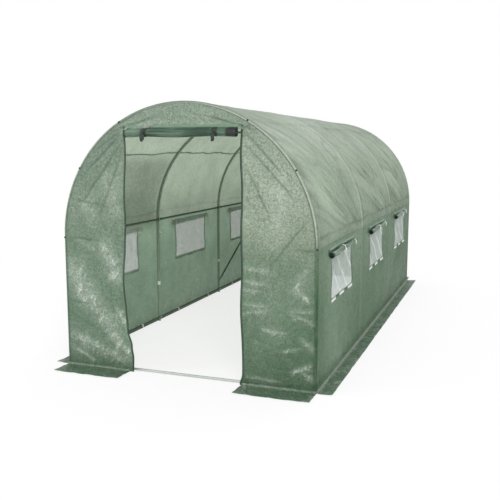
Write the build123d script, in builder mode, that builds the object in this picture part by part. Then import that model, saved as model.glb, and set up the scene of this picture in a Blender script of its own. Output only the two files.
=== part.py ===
"""Polytunnel greenhouse: a hooped tube frame under a film cover with a roll-up door and side windows.

Millimetres, +Z up. X runs across the tunnel, Y along it with the door end at -Y, and the ground is Z = 0.
"""

import os
from math import cos, degrees, hypot, radians, sin

from build123d import *

# Overall sizes of the tunnel, over the cover
tunnel_width = 2000.0
tunnel_length = 4500.0
eave_height = 1000.0
bay_count = 3

# Cover film, and the room left between pieces that seat on a curve
film = 2.0
seat_gap = 0.3

# Hoop tubes, each hoop being two legs and three arch tubes that plug together
hoop_tube_dia = 25.0
spigot_dia = 21.0
spigot_length = 50.0
spigot_gap = 0.3
arch_tubes = 3

# Lengthwise rails and cross bars: round tube with flattened ends
rail_dia = 19.0
tongue_thickness = 2.4
tongue_width = 24.0
tongue_length = 34.0
tongue_overhang = 10.0
neck_length = 30.0
ground_bar_height = 14.0
ground_rail_height = 42.0
brace_low_height = 150.0
brace_drop = 70.0

# Snap clips that hold the cover to the legs of the inner hoops
clip_height = 360.0
clip_length = 34.0
clip_wall = 2.6
clip_gap_angle = 120.0

# Roof cover segments over the half circle
roof_segments = 6

# Doorway in the front wall, the gable over it, and the zip tapes at its sides
door_width = 900.0
gable_height = 170.0
zip_width = 26.0
zip_thickness = 1.6

# Rolled door: the film hangs from the head seam and winds up outwards
door_roll_inset = 20.0
door_roll_radius = 31.0
door_roll_drop = 48.0
door_roll_turns = 3
roll_pitch = 7.0
seam_lap = 30.0
door_tie_spacing = 540.0
door_tie_width = 24.0
door_tie_tail = 46.0
tie_thickness = 1.6

# Side windows, one to each bay, hung below the eave
window_length = 700.0
window_height = 350.0
window_drop = 70.0
net_lap = 22.0
net_thickness = 1.0
flap_lap = 90.0
flap_roll_radius = 24.0
flap_roll_turns = 2
flap_tie_spacing = 440.0
flap_tie_shift = 160.0
flap_tie_width = 18.0

# Hook strips under each window
hook_strip_length = 150.0
hook_strip_height = 20.0
hook_strip_thickness = 1.5
hook_strip_spacing = 285.0
hook_strip_drop = 16.0
hook_strip_count = 3

# Skirt flaps that lie on the ground round the foot of the cover
end_skirt = 190.0
side_skirt = 110.0

# Derived places
cover_radius = tunnel_width / 2
inner_radius = cover_radius - film
half_length = tunnel_length / 2
bay = tunnel_length / bay_count
hoop_radius = inner_radius - seat_gap - hoop_tube_dia / 2
hoop_end = half_length - film - seat_gap - hoop_tube_dia / 2
hoop_rows = [-hoop_end, *[bay * n - half_length for n in range(1, bay_count)], hoop_end]
inner_rows = hoop_rows[1:-1]
bay_middles = [bay * (n + 0.5) - half_length for n in range(bay_count)]
arch_span = 180.0 / arch_tubes
roof_span = 180.0 / roof_segments
rail_seat = hoop_radius - hoop_tube_dia / 2 - seat_gap - tongue_thickness / 2
rail_step = tongue_thickness + seat_gap
wall_end_radius = inner_radius - seat_gap
door_head = eave_height + cover_radius - gable_height
door_roll_length = door_width - 2 * door_roll_inset
window_head = eave_height - window_drop
window_sill = window_head - window_height
flap_roll_length = window_length + 2 * flap_lap
front = Plane(origin=(0, -half_length, 0), x_dir=(1, 0, 0), z_dir=(0, -1, 0))
sides = {"left": -1, "right": 1}


def write(piece, name):
    """Label a finished piece and write it as its own STEP file."""
    piece.part.label = name
    export_step(piece.part, f"parts/{name}.step")


def arch_plane(row, angle):
    """Plane square to a hoop's centre line at an angle up from the right-hand eave."""
    turn = radians(angle)
    centre = (hoop_radius * cos(turn), row, eave_height + hoop_radius * sin(turn))
    return Plane(origin=centre, x_dir=(cos(turn), 0, sin(turn)), z_dir=(-sin(turn), 0, cos(turn)))


def arch_bend(row, start, span, diameter, mode=Mode.ADD):
    """Round bar bent along a hoop's centre line, added to or cut from the part being built."""
    with BuildSketch(arch_plane(row, start)) as section:
        Circle(diameter / 2)
    hub = Axis((0, row, eave_height), (0, -1, 0))
    revolve(section.sketch, axis=hub, revolution_arc=span, mode=mode)


def flat_end_tube(start, end, across):
    """Round tube from start to end whose two ends are pressed flat, their width lying along across."""
    run = Vector(*end) - Vector(*start)
    ends = [
        Plane(origin=start, x_dir=across, z_dir=tuple(run)),
        Plane(origin=end, x_dir=across, z_dir=tuple(-run)),
    ]
    body_start = tongue_length + neck_length
    with BuildSketch(ends[0].offset(body_start)) as body:
        Circle(rail_dia / 2)
    extrude(body.sketch, amount=run.length - 2 * body_start)
    for plane in ends:
        with BuildSketch(plane) as tongue:
            Rectangle(tongue_width, tongue_thickness)
        extrude(tongue.sketch, amount=tongue_length)
        with BuildSketch(plane.offset(tongue_length)) as pressed:
            Rectangle(tongue_width, tongue_thickness)
        with BuildSketch(plane.offset(body_start)) as round_end:
            Circle(rail_dia / 2)
        loft([pressed.sketch.face(), round_end.sketch.face()])


def rail_lengths(angle, height=None):
    """One rail line in bay lengths, on the inner side of the hoops at an arch angle or a leg height."""
    turn = radians(angle)
    level = eave_height if height is None else height
    for number in range(bay_count):
        radius = rail_seat - rail_step * (number % 2)
        place = (radius * cos(turn), level + radius * sin(turn))
        start = (place[0], hoop_rows[number] - tongue_overhang, place[1])
        end = (place[0], hoop_rows[number + 1] + tongue_overhang, place[1])
        flat_end_tube(start, end, (-sin(turn), 0, cos(turn)))


def end_outline(radius):
    """Outline of a tunnel end: straight sides up to the eaves and a half circle over them."""
    with BuildLine() as outline:
        Polyline((radius, eave_height), (radius, 0), (-radius, 0), (-radius, eave_height))
        CenterArc((0, eave_height), radius, 0, 180)
    make_face(outline.edges())


def roll_profile(radius, turns, drop):
    """Film that hangs down a wall from drop, turns outwards at its foot and winds up into a loose roll."""
    edge = film / 2
    with BuildLine() as path:
        Line((edge, drop), (edge, 0))
        for half_turn in range(2 * turns):
            outward = 1 if half_turn % 2 == 0 else -1
            size = radius - half_turn * roll_pitch / 2
            CenterArc((edge + outward * size, 0), size, 180 if outward > 0 else 0, 180)
            edge += 2 * outward * size
    trace(path.line, line_width=film)


def tie_profile(radius, tail):
    """Strap round the outer side of a roll, with a tail of the given length that hangs below it."""
    outer = radius + film / 2 + seat_gap + tie_thickness
    with Locations((film / 2 + radius, 0)):
        Circle(outer)
        Circle(outer - tie_thickness, mode=Mode.SUBTRACT)
    with Locations((film + seat_gap - outer, 0)):
        Rectangle(2 * outer, 2 * outer, mode=Mode.SUBTRACT)
    if tail:
        with Locations((film / 2 + radius, -outer - (tail - tie_thickness) / 2)):
            Rectangle(tie_thickness, tail)


def roll_plane(side, along, height):
    """Plane for a roll on a side wall: its X points out of the wall and its Y points up."""
    return Plane(origin=(side * cover_radius, along, height), x_dir=(side, 0, 0), z_dir=(0, -side, 0))


def door_plane(across):
    """Plane for the door roll: its X points out of the front wall and its Y points up."""
    return Plane(origin=(across, -half_length, door_head - door_roll_drop), x_dir=(0, -1, 0), z_dir=(-1, 0, 0))


def make_legs(side_name, side):
    """Four straight legs of one side, each with a socket in its top."""
    with BuildPart() as legs:
        for row in hoop_rows:
            with BuildSketch(Plane(origin=(side * hoop_radius, row, 0))) as foot:
                Circle(hoop_tube_dia / 2)
            extrude(foot.sketch, amount=eave_height)
            with BuildSketch(Plane(origin=(side * hoop_radius, row, eave_height))) as socket:
                Circle(spigot_dia / 2 + spigot_gap)
            extrude(socket.sketch, amount=-spigot_length - spigot_gap, mode=Mode.SUBTRACT)
    write(legs, f"{side_name}_legs")


def make_shoulder_tubes(side_name, side):
    """Lower arch tubes of one side: a spigot that plugs into the leg and a socket at the upper end."""
    spigot_angle = degrees((spigot_length + spigot_gap) / hoop_radius)
    start = 0 if side > 0 else 180 - arch_span
    mouth = arch_span - spigot_angle if side > 0 else 180 - arch_span
    with BuildPart() as tubes:
        for row in hoop_rows:
            arch_bend(row, start, arch_span, hoop_tube_dia)
            arch_bend(row, mouth, spigot_angle, spigot_dia + 2 * spigot_gap, Mode.SUBTRACT)
            with BuildSketch(Plane(origin=(side * hoop_radius, row, eave_height))) as spigot:
                Circle(spigot_dia / 2)
            extrude(spigot.sketch, amount=-spigot_length)
    write(tubes, f"{side_name}_arch_tubes")


def make_crown_tubes():
    """Top arch tubes with a spigot at both ends."""
    spigot_angle = degrees(spigot_length / hoop_radius)
    with BuildPart() as tubes:
        for row in hoop_rows:
            arch_bend(row, arch_span, arch_span, hoop_tube_dia)
            arch_bend(row, arch_span - spigot_angle, arch_span + 2 * spigot_angle, spigot_dia)
    write(tubes, "crown_arch_tubes")


def make_rails(side_name, side):
    """Ground, eave and upper rails of one side, three bay lengths each."""
    eave_angle = 0 if side > 0 else 180
    upper_angle = arch_span if side > 0 else 180 - arch_span
    with BuildPart() as ground_rail:
        rail_lengths(eave_angle, ground_rail_height)
    write(ground_rail, f"{side_name}_ground_rail")
    with BuildPart() as side_rail:
        rail_lengths(eave_angle)
    write(side_rail, f"{side_name}_side_rail")
    with BuildPart() as upper_rail:
        rail_lengths(upper_angle)
    write(upper_rail, f"{side_name}_upper_rail")


def make_ground_bars():
    """Bars on the ground across both ends, on the inner side of the end legs."""
    reach = hoop_radius + tongue_overhang
    seat = hoop_end - hoop_tube_dia / 2 - seat_gap - tongue_thickness / 2
    for name, row in (("front_ground_bar", -seat), ("rear_ground_bar", seat)):
        with BuildPart() as bar:
            flat_end_tube((-reach, row, ground_bar_height), (reach, row, ground_bar_height), (0, 0, 1))
        write(bar, name)


def make_braces():
    """Slanting braces in the last bay, from the foot of the inner hoop up to the end hoop."""
    high_height = eave_height - brace_drop
    rise = high_height - brace_low_height
    run = hoop_rows[-1] - hoop_rows[-2]
    slant = hypot(run, rise)
    share = (tongue_overhang - tongue_width / 2 * rise / slant) / slant
    with BuildPart() as braces:
        for side in sides.values():
            place = side * rail_seat
            start = (place, hoop_rows[-2] - share * run, brace_low_height - share * rise)
            end = (place, hoop_rows[-1] + share * run, high_height + share * rise)
            flat_end_tube(start, end, (0, -rise, run))
    write(braces, "rear_braces")


def make_leg_clips():
    """Snap clips round the inner side of the inner hoops' legs."""
    bore = hoop_tube_dia / 2 + seat_gap
    reach = 2 * (bore + clip_wall)
    half_gap = radians(clip_gap_angle / 2)
    with BuildPart() as clips:
        for row in inner_rows:
            for side in sides.values():
                with BuildSketch(Plane(origin=(side * hoop_radius, row, clip_height))) as ring:
                    Circle(bore + clip_wall)
                    Circle(bore, mode=Mode.SUBTRACT)
                    with BuildLine():
                        mouth = (side * reach * cos(half_gap), reach * sin(half_gap))
                        Polyline((0, 0), mouth, (mouth[0], -mouth[1]), close=True)
                    make_face(mode=Mode.SUBTRACT)
                extrude(ring.sketch, amount=clip_length)
    write(clips, "leg_clips")


def make_side_walls(side_name, side):
    """Upright cover panels of one side, each cut through for its window."""
    outer = cover_radius if side > 0 else -inner_radius
    for number, middle in enumerate(bay_middles, start=1):
        with BuildPart() as wall:
            with BuildSketch(Plane(origin=(outer, middle, 0), x_dir=(0, 1, 0), z_dir=(1, 0, 0))):
                with Locations((0, eave_height / 2)):
                    Rectangle(bay, eave_height)
                with Locations((0, window_sill + window_height / 2)):
                    Rectangle(window_length, window_height, mode=Mode.SUBTRACT)
            extrude(amount=-film)
        write(wall, f"{side_name}_wall_{number}")


def make_roof():
    """Arched cover in lengthwise strips that follow the hoops from eave to eave."""
    names = ["right_eave_roof", "right_haunch_roof", "right_crown_roof"]
    names += ["left_crown_roof", "left_haunch_roof", "left_eave_roof"]
    for number, name in enumerate(names):
        start = number * roof_span
        with BuildPart() as strip:
            with BuildSketch(front) as section:
                with BuildLine():
                    outer = CenterArc((0, eave_height), cover_radius, start, roof_span)
                    inner = CenterArc((0, eave_height), inner_radius, start, roof_span)
                    Line(outer @ 0, inner @ 0)
                    Line(outer @ 1, inner @ 1)
                make_face()
            extrude(section.sketch, amount=-tunnel_length)
        write(strip, name)


def make_end_walls():
    """Front wall beside and over the doorway, and the plain rear wall."""
    side_width = (tunnel_width - door_width) / 2
    side_middle = (tunnel_width + door_width) / 4
    cuts = {
        "front_wall_left": ((-side_middle, door_head / 2), (side_width, door_head)),
        "front_wall_right": ((side_middle, door_head / 2), (side_width, door_head)),
        "front_gable": ((0, door_head + gable_height / 2), (tunnel_width, gable_height)),
    }
    for name, (middle, extent) in cuts.items():
        with BuildPart() as wall:
            with BuildSketch(front):
                end_outline(wall_end_radius)
                with Locations(middle):
                    Rectangle(*extent, mode=Mode.INTERSECT)
            extrude(amount=-film)
        write(wall, name)
    with BuildPart() as rear:
        with BuildSketch(front.offset(-tunnel_length)):
            end_outline(wall_end_radius)
        extrude(amount=film)
    write(rear, "rear_wall")


def skirt_flap(start, end, outward):
    """Ground flap along an edge from start to end, as wide as outward reaches."""
    outer_end = (end[0] + outward[0], end[1] + outward[1])
    outer_start = (start[0] + outward[0], start[1] + outward[1])
    with BuildSketch(Plane.XY) as outline:
        with BuildLine():
            Polyline(start, end, outer_end, outer_start, close=True)
        make_face()
    extrude(outline.sketch, amount=film)


def make_skirts():
    """Five ground flaps, with open corners and a gap in front of the doorway."""
    half_door = door_width / 2
    flaps = {
        "front_left_skirt": ((-cover_radius, -half_length), (-half_door, -half_length), (0, -end_skirt)),
        "front_right_skirt": ((half_door, -half_length), (cover_radius, -half_length), (0, -end_skirt)),
        "rear_skirt": ((-cover_radius, half_length), (cover_radius, half_length), (0, end_skirt)),
        "left_skirt": ((-cover_radius, -half_length), (-cover_radius, half_length), (-side_skirt, 0)),
        "right_skirt": ((cover_radius, -half_length), (cover_radius, half_length), (side_skirt, 0)),
    }
    for name, (start, end, outward) in flaps.items():
        with BuildPart() as flap:
            skirt_flap(start, end, outward)
        write(flap, name)


def make_windows(side_name, side):
    """Nets behind one side's windows and the flaps rolled up over them."""
    net_height = window_height + 2 * net_lap
    with BuildPart() as nets:
        for middle in bay_middles:
            seat = (side * inner_radius, middle, window_sill - net_lap)
            with BuildSketch(Plane(origin=seat, x_dir=(0, 1, 0), z_dir=(-side, 0, 0))) as net:
                with Locations((0, -side * net_height / 2)):
                    Rectangle(window_length + 2 * net_lap, net_height)
            extrude(net.sketch, amount=net_thickness)
    write(nets, f"{side_name}_window_nets")

    with BuildPart() as rolls:
        for middle in bay_middles:
            with BuildSketch(roll_plane(side, middle - side * flap_roll_length / 2, window_head)) as profile:
                roll_profile(flap_roll_radius, flap_roll_turns, flap_roll_radius + seam_lap)
            extrude(profile.sketch, amount=-flap_roll_length)
    write(rolls, f"{side_name}_flap_rolls")


def make_window_trim(side_name, side):
    """Ties round one side's flap rolls, and the hook strips under its windows."""
    with BuildPart() as ties:
        for middle in bay_middles:
            for place in (-flap_tie_spacing / 2, flap_tie_spacing / 2):
                edge = middle + flap_tie_shift + place - side * flap_tie_width / 2
                with BuildSketch(roll_plane(side, edge, window_head)) as strap:
                    tie_profile(flap_roll_radius, 0)
                extrude(strap.sketch, amount=-flap_tie_width)
    write(ties, f"{side_name}_flap_ties")

    with BuildPart() as strips:
        for middle in bay_middles:
            seat = (side * cover_radius, middle, window_sill - hook_strip_drop)
            with BuildSketch(Plane(origin=seat, x_dir=(0, 1, 0), z_dir=(side, 0, 0))) as strip:
                with GridLocations(hook_strip_spacing, 0, hook_strip_count, 1):
                    Rectangle(hook_strip_length, hook_strip_height)
            extrude(strip.sketch, amount=hook_strip_thickness)
    write(strips, f"{side_name}_hook_strips")


def make_door():
    """Door film rolled up under the head seam, its two ties, and the zip tapes beside the doorway."""
    with BuildPart() as roll:
        with BuildSketch(door_plane(door_roll_length / 2)) as profile:
            roll_profile(door_roll_radius, door_roll_turns, door_roll_drop + seam_lap)
        extrude(profile.sketch, amount=door_roll_length)
    write(roll, "door_roll")

    with BuildPart() as ties:
        for place in (-door_tie_spacing / 2, door_tie_spacing / 2):
            with BuildSketch(door_plane(place + door_tie_width / 2)) as strap:
                tie_profile(door_roll_radius, door_tie_tail)
            extrude(strap.sketch, amount=door_tie_width)
    write(ties, "door_ties")

    with BuildPart() as zips:
        for side in sides.values():
            with BuildSketch(front) as tape:
                with Locations((side * (door_width + zip_width) / 2, (door_head + film) / 2)):
                    Rectangle(zip_width, door_head - film)
            extrude(tape.sketch, amount=zip_thickness)
    write(zips, "door_zips")


def main():
    """Build every piece of the tunnel and write it out."""
    os.makedirs("parts", exist_ok=True)
    for side_name, side in sides.items():
        make_legs(side_name, side)
        make_shoulder_tubes(side_name, side)
        make_rails(side_name, side)
        make_side_walls(side_name, side)
        make_windows(side_name, side)
        make_window_trim(side_name, side)
    make_crown_tubes()
    make_ground_bars()
    make_braces()
    make_leg_clips()
    make_roof()
    make_end_walls()
    make_skirts()
    make_door()


main()
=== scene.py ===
"""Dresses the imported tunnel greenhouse: film cover, nets, rolls, trims, tube finishes, light and camera."""

from __future__ import annotations

import logging
import math
from dataclasses import dataclass
from enum import Enum
from typing import Callable, Iterable, Union

import bmesh
import bpy
from mathutils import Matrix, Vector, noise

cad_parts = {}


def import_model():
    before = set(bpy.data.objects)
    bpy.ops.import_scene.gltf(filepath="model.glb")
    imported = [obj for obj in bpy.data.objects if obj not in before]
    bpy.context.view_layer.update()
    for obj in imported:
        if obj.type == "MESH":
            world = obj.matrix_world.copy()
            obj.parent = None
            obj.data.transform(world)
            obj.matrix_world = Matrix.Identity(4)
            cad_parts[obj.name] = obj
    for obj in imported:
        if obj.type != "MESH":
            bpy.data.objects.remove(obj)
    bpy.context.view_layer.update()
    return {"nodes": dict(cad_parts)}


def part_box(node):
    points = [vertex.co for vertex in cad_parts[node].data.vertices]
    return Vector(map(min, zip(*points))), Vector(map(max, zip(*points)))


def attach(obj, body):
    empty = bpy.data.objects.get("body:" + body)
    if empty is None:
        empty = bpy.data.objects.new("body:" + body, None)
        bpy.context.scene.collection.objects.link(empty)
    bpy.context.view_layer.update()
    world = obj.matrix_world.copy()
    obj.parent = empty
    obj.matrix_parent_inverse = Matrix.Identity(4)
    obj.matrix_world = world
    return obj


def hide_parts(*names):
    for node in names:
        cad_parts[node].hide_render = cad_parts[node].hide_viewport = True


LOG = logging.getLogger("tunnel")
BODY = "root"
FILM_LEVELS = ("crumple", "edge", "seam", "fold", "dense")
THREAD_TURN = 785.0
FRONTWARDS = Vector((0.0, -1.0, 0.0))
REARWARDS = Vector((0.0, 1.0, 0.0))
RIGHTWARDS = Vector((1.0, 0.0, 0.0))
UPWARDS = Vector((0.0, 0.0, 1.0))

Colour = tuple[int, int, int]
Stops = tuple[tuple[float, Colour], ...]
Place = Callable[[float, float], Vector]
Level = Callable[[Vector], float]


class Side(Enum):
    """A long side of the tunnel, seen from the door; the value is the sign of its x."""

    LEFT = -1
    RIGHT = 1

    @property
    def word(self) -> str:
        """The side's name in the names of nodes and pieces."""
        return self.name.lower()


class Ramp(Enum):
    """How a shader value runs from 0 to 1 between two limits."""

    STRAIGHT = "LINEAR"
    SOFT = "SMOOTHSTEP"


def linear(colour: Colour) -> tuple[float, float, float, float]:
    """Gives the linear colour of one that is written as it looks on a screen.

    Args:
        colour: Red, green and blue from 0 to 255.

    Returns:
        Linear red, green, blue and an alpha of 1.
    """
    shares = [c / 255 for c in colour]
    return (*[s / 12.92 if s <= 0.04045 else ((s + 0.055) / 1.055) ** 2.4 for s in shares], 1.0)


def soft_step(value: float, low: float, high: float) -> float:
    """Runs smoothly from 0 at low to 1 at high.

    Args:
        value: The value to place between the limits.
        low: Where the step starts.
        high: Where the step ends.

    Returns:
        A share from 0 to 1.
    """
    share = min(1.0, max(0.0, (value - low) / (high - low)))
    return share * share * (3 - 2 * share)


def hump(distance: float, width: float) -> float:
    """Gives a bell curve of height 1 that is about width wide on each side."""
    return math.exp(-((distance / width) ** 2))


def waver(x: float, y: float, z: float) -> float:
    """Gives smooth noise from about -1 to 1 at a place that is written as three numbers."""
    return noise.noise(Vector((x, y, z)))


def row_at(rows: list, share: float) -> object:
    """Gives the row that lies at a share of the way through evenly counted rows."""
    return rows[round(share * (len(rows) - 1))]


def along_curve(stops: tuple[tuple[float, float], ...], at: float) -> float:
    """Reads a smooth curve through given stops.

    Args:
        stops: Pairs of place and value, in rising order of place.
        at: The place to read.

    Returns:
        The value there, level beyond the first and last stop.
    """
    if at <= stops[0][0]:
        return stops[0][1]
    for (low, first), (high, second) in zip(stops, stops[1:]):
        if at <= high:
            return first + (second - first) * soft_step(at, low, high)
    return stops[-1][1]


class Shade:
    """A shader socket that takes part in arithmetic; each step adds a Math node."""

    def __init__(self, bench: "Bench", socket: bpy.types.NodeSocket) -> None:
        """Keeps the socket and the bench that its nodes stand on."""
        self.bench, self.socket = bench, socket

    def step(self, operation: str, *values: "Number") -> "Shade":
        """Adds one Math node of that operation on the given values."""
        return self.bench.add("ShaderNodeMath", {"operation": operation}, dict(enumerate(values)))

    def __add__(self, other: "Number") -> "Shade":
        """Adds a value."""
        return self.step("ADD", self, other)

    def __radd__(self, other: "Number") -> "Shade":
        """Adds this to a value."""
        return self.step("ADD", other, self)

    def __sub__(self, other: "Number") -> "Shade":
        """Takes a value away."""
        return self.step("SUBTRACT", self, other)

    def __rsub__(self, other: "Number") -> "Shade":
        """Takes this away from a value."""
        return self.step("SUBTRACT", other, self)

    def __mul__(self, other: "Number") -> "Shade":
        """Multiplies by a value."""
        return self.step("MULTIPLY", self, other)

    def __abs__(self) -> "Shade":
        """Drops the sign."""
        return self.step("ABSOLUTE", self)

    def sine(self) -> "Shade":
        """The sine of this value."""
        return self.step("SINE", self)

    def most(self, other: "Number") -> "Shade":
        """The larger of this and another value."""
        return self.step("MAXIMUM", self, other)

    def ramp(self, low: float, high: float, kind: Ramp = Ramp.SOFT) -> "Shade":
        """Runs from 0 to 1 as this value runs from low to high."""
        limits = {"Value": self, "From Min": low, "From Max": high}
        return self.bench.add("ShaderNodeMapRange", {"interpolation_type": kind.value}, limits)


Number = Union[float, Shade]


class Bench:
    """The node tree of one material, and the way to add nodes to it."""

    def __init__(self, name: str) -> None:
        """Starts an empty material."""
        self.material = bpy.data.materials.new(name)
        self.material.use_nodes = True
        self.tree = self.material.node_tree
        self.tree.nodes.clear()

    def add(
        self, kind: str, settings: dict | None = None, inputs: dict | None = None, out: int | str = 0,
    ) -> Shade:
        """Adds one node.

        Args:
            kind: The node's type.
            settings: Its settings, set first.
            inputs: Values or links of its sockets, by name or number.
            out: The output to hand back.

        Returns:
            That output as a shade.
        """
        node = self.tree.nodes.new(kind)
        for key, value in (settings or {}).items():
            setattr(node, key, value)
        for key, value in (inputs or {}).items():
            if isinstance(value, Shade):
                self.tree.links.new(value.socket, node.inputs[key])
            else:
                node.inputs[key].default_value = value
        return Shade(self, node.outputs[out])

    def blend(self, base: object, over: object, share: Number, mode: str = "MIX") -> Shade:
        """Mixes two colours.

        Args:
            base: The colour under, a shade or linear colour.
            over: The colour on top.
            share: How much of the top one shows.
            mode: Blender's blend type.

        Returns:
            The mixed colour.
        """
        settings = {"data_type": "RGBA", "blend_type": mode}
        return self.add("ShaderNodeMix", settings, {0: share, 6: base, 7: over}, 2)

    def vector(self, operation: str, first: object, second: object, out: int | str = 0) -> Shade:
        """Adds one Vector Math node on two vectors."""
        return self.add("ShaderNodeVectorMath", {"operation": operation}, {0: first, 1: second}, out)

    def spot(self) -> Shade:
        """The place on the piece, in metres in the shared frame."""
        return self.add("ShaderNodeTexCoord", out="Object")

    def attribute(self, name: str) -> Shade:
        """A number that the mesh carries at its points."""
        return self.add("ShaderNodeAttribute", {"attribute_name": name}, out="Fac")

    def grain(self, where: Shade, scale: float, detail: float = 2.0) -> Shade:
        """Noise from 0 to 1 with that many lumps to the metre."""
        return self.add("ShaderNodeTexNoise", {}, {"Vector": where, "Scale": scale, "Detail": detail})

    def axes(self, where: Shade) -> tuple[Shade, Shade, Shade]:
        """The three parts of a vector."""
        node = self.add("ShaderNodeSeparateXYZ", {}, {0: where}).socket.node
        return tuple(Shade(self, node.outputs[i]) for i in range(3))

    def tint(self, colour: object, tone: Shade) -> Shade:
        """Darkens or lightens a colour by a tone round 1."""
        return self.blend(colour, tone, 1.0, "MULTIPLY")

    def skin(self, **inputs: object) -> bpy.types.Material:
        """Ends the material with one Principled surface of the given inputs."""
        named = {key.replace("_", " ").title(): value for key, value in inputs.items()}
        return self.done(self.add("ShaderNodeBsdfPrincipled", {}, named))

    def bands(self, value: Shade, stops: Stops) -> Shade:
        """Colour that runs through given stops of a value.

        Args:
            value: The value to follow.
            stops: Pairs of a value and the colour there, in rising order.

        Returns:
            The colour.
        """
        low, high = stops[0][0], stops[-1][0]
        made = self.add("ShaderNodeValToRGB", {}, {0: value.ramp(low, high, Ramp.STRAIGHT)})
        elements = made.socket.node.color_ramp.elements
        for k, (at, colour) in enumerate(stops):
            share = (at - low) / (high - low)
            stop = elements[k] if k < 2 else elements.new(share)
            stop.position, stop.color = share, linear(colour)
        return made

    def wrinkles(self, where: Shade, scale: float, width: float) -> Shade:
        """Thin lines along the edges of crumpled facets, 1 on a line."""
        noisy = {"Vector": where, "Scale": 0.7 * scale, "Detail": 2.0}
        drift = self.add("ShaderNodeTexNoise", {}, noisy, "Color")
        bent = self.vector("ADD", where, self.vector("MULTIPLY", drift, (0.9 / scale,) * 3))
        settings = {"voronoi_dimensions": "3D", "feature": "DISTANCE_TO_EDGE"}
        edges = self.add("ShaderNodeTexVoronoi", settings, {"Vector": bent, "Scale": scale})
        return 1 - edges.ramp(0.0, width)

    def facets(self, where: Shade, scale: float) -> Shade:
        """Height of a crumpled film: flat facets, each tilted its own way."""
        settings = {"voronoi_dimensions": "3D", "feature": "F1"}
        node = self.add("ShaderNodeTexVoronoi", settings, {"Vector": where, "Scale": scale}).socket.node
        tilt = self.vector("SUBTRACT", Shade(self, node.outputs["Color"]), (0.5, 0.5, 0.5))
        reach = self.vector("SUBTRACT", where, Shade(self, node.outputs["Position"]))
        return self.vector("DOT_PRODUCT", tilt, reach, "Value")

    def streaks(self, where: Shade, turn: tuple[float, float, float], along: float, across: float) -> Shade:
        """Noise drawn out one way, as pulled and creased film shows.

        Args:
            where: The place on the piece.
            turn: Turn of the pattern round the three axes, in degrees.
            along: Lumps to the metre along the streaks.
            across: Lumps to the metre across them.

        Returns:
            A value from 0 to 1.
        """
        turning = {"Vector": where, "Rotation": [math.radians(a) for a in turn]}
        turned = self.add("ShaderNodeMapping", {"vector_type": "POINT"}, turning)
        drawn = self.vector("MULTIPLY", turned, (along, across, across))
        return self.grain(drawn, 1.0, 3.0)

    def bump(self, height: Shade, strength: float, reach: float, under: Shade | None = None) -> Shade:
        """A bumped normal from a height in metres, over an earlier one if given."""
        inputs = {"Height": height, "Strength": strength, "Distance": reach}
        if under is not None:
            inputs["Normal"] = under
        return self.add("ShaderNodeBump", {}, inputs)

    def done(self, surface: Shade) -> bpy.types.Material:
        """Joins the surface to the output and hands the material back."""
        output = self.tree.nodes.new("ShaderNodeOutputMaterial")
        self.tree.links.new(surface.socket, output.inputs["Surface"])
        return self.material


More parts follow.
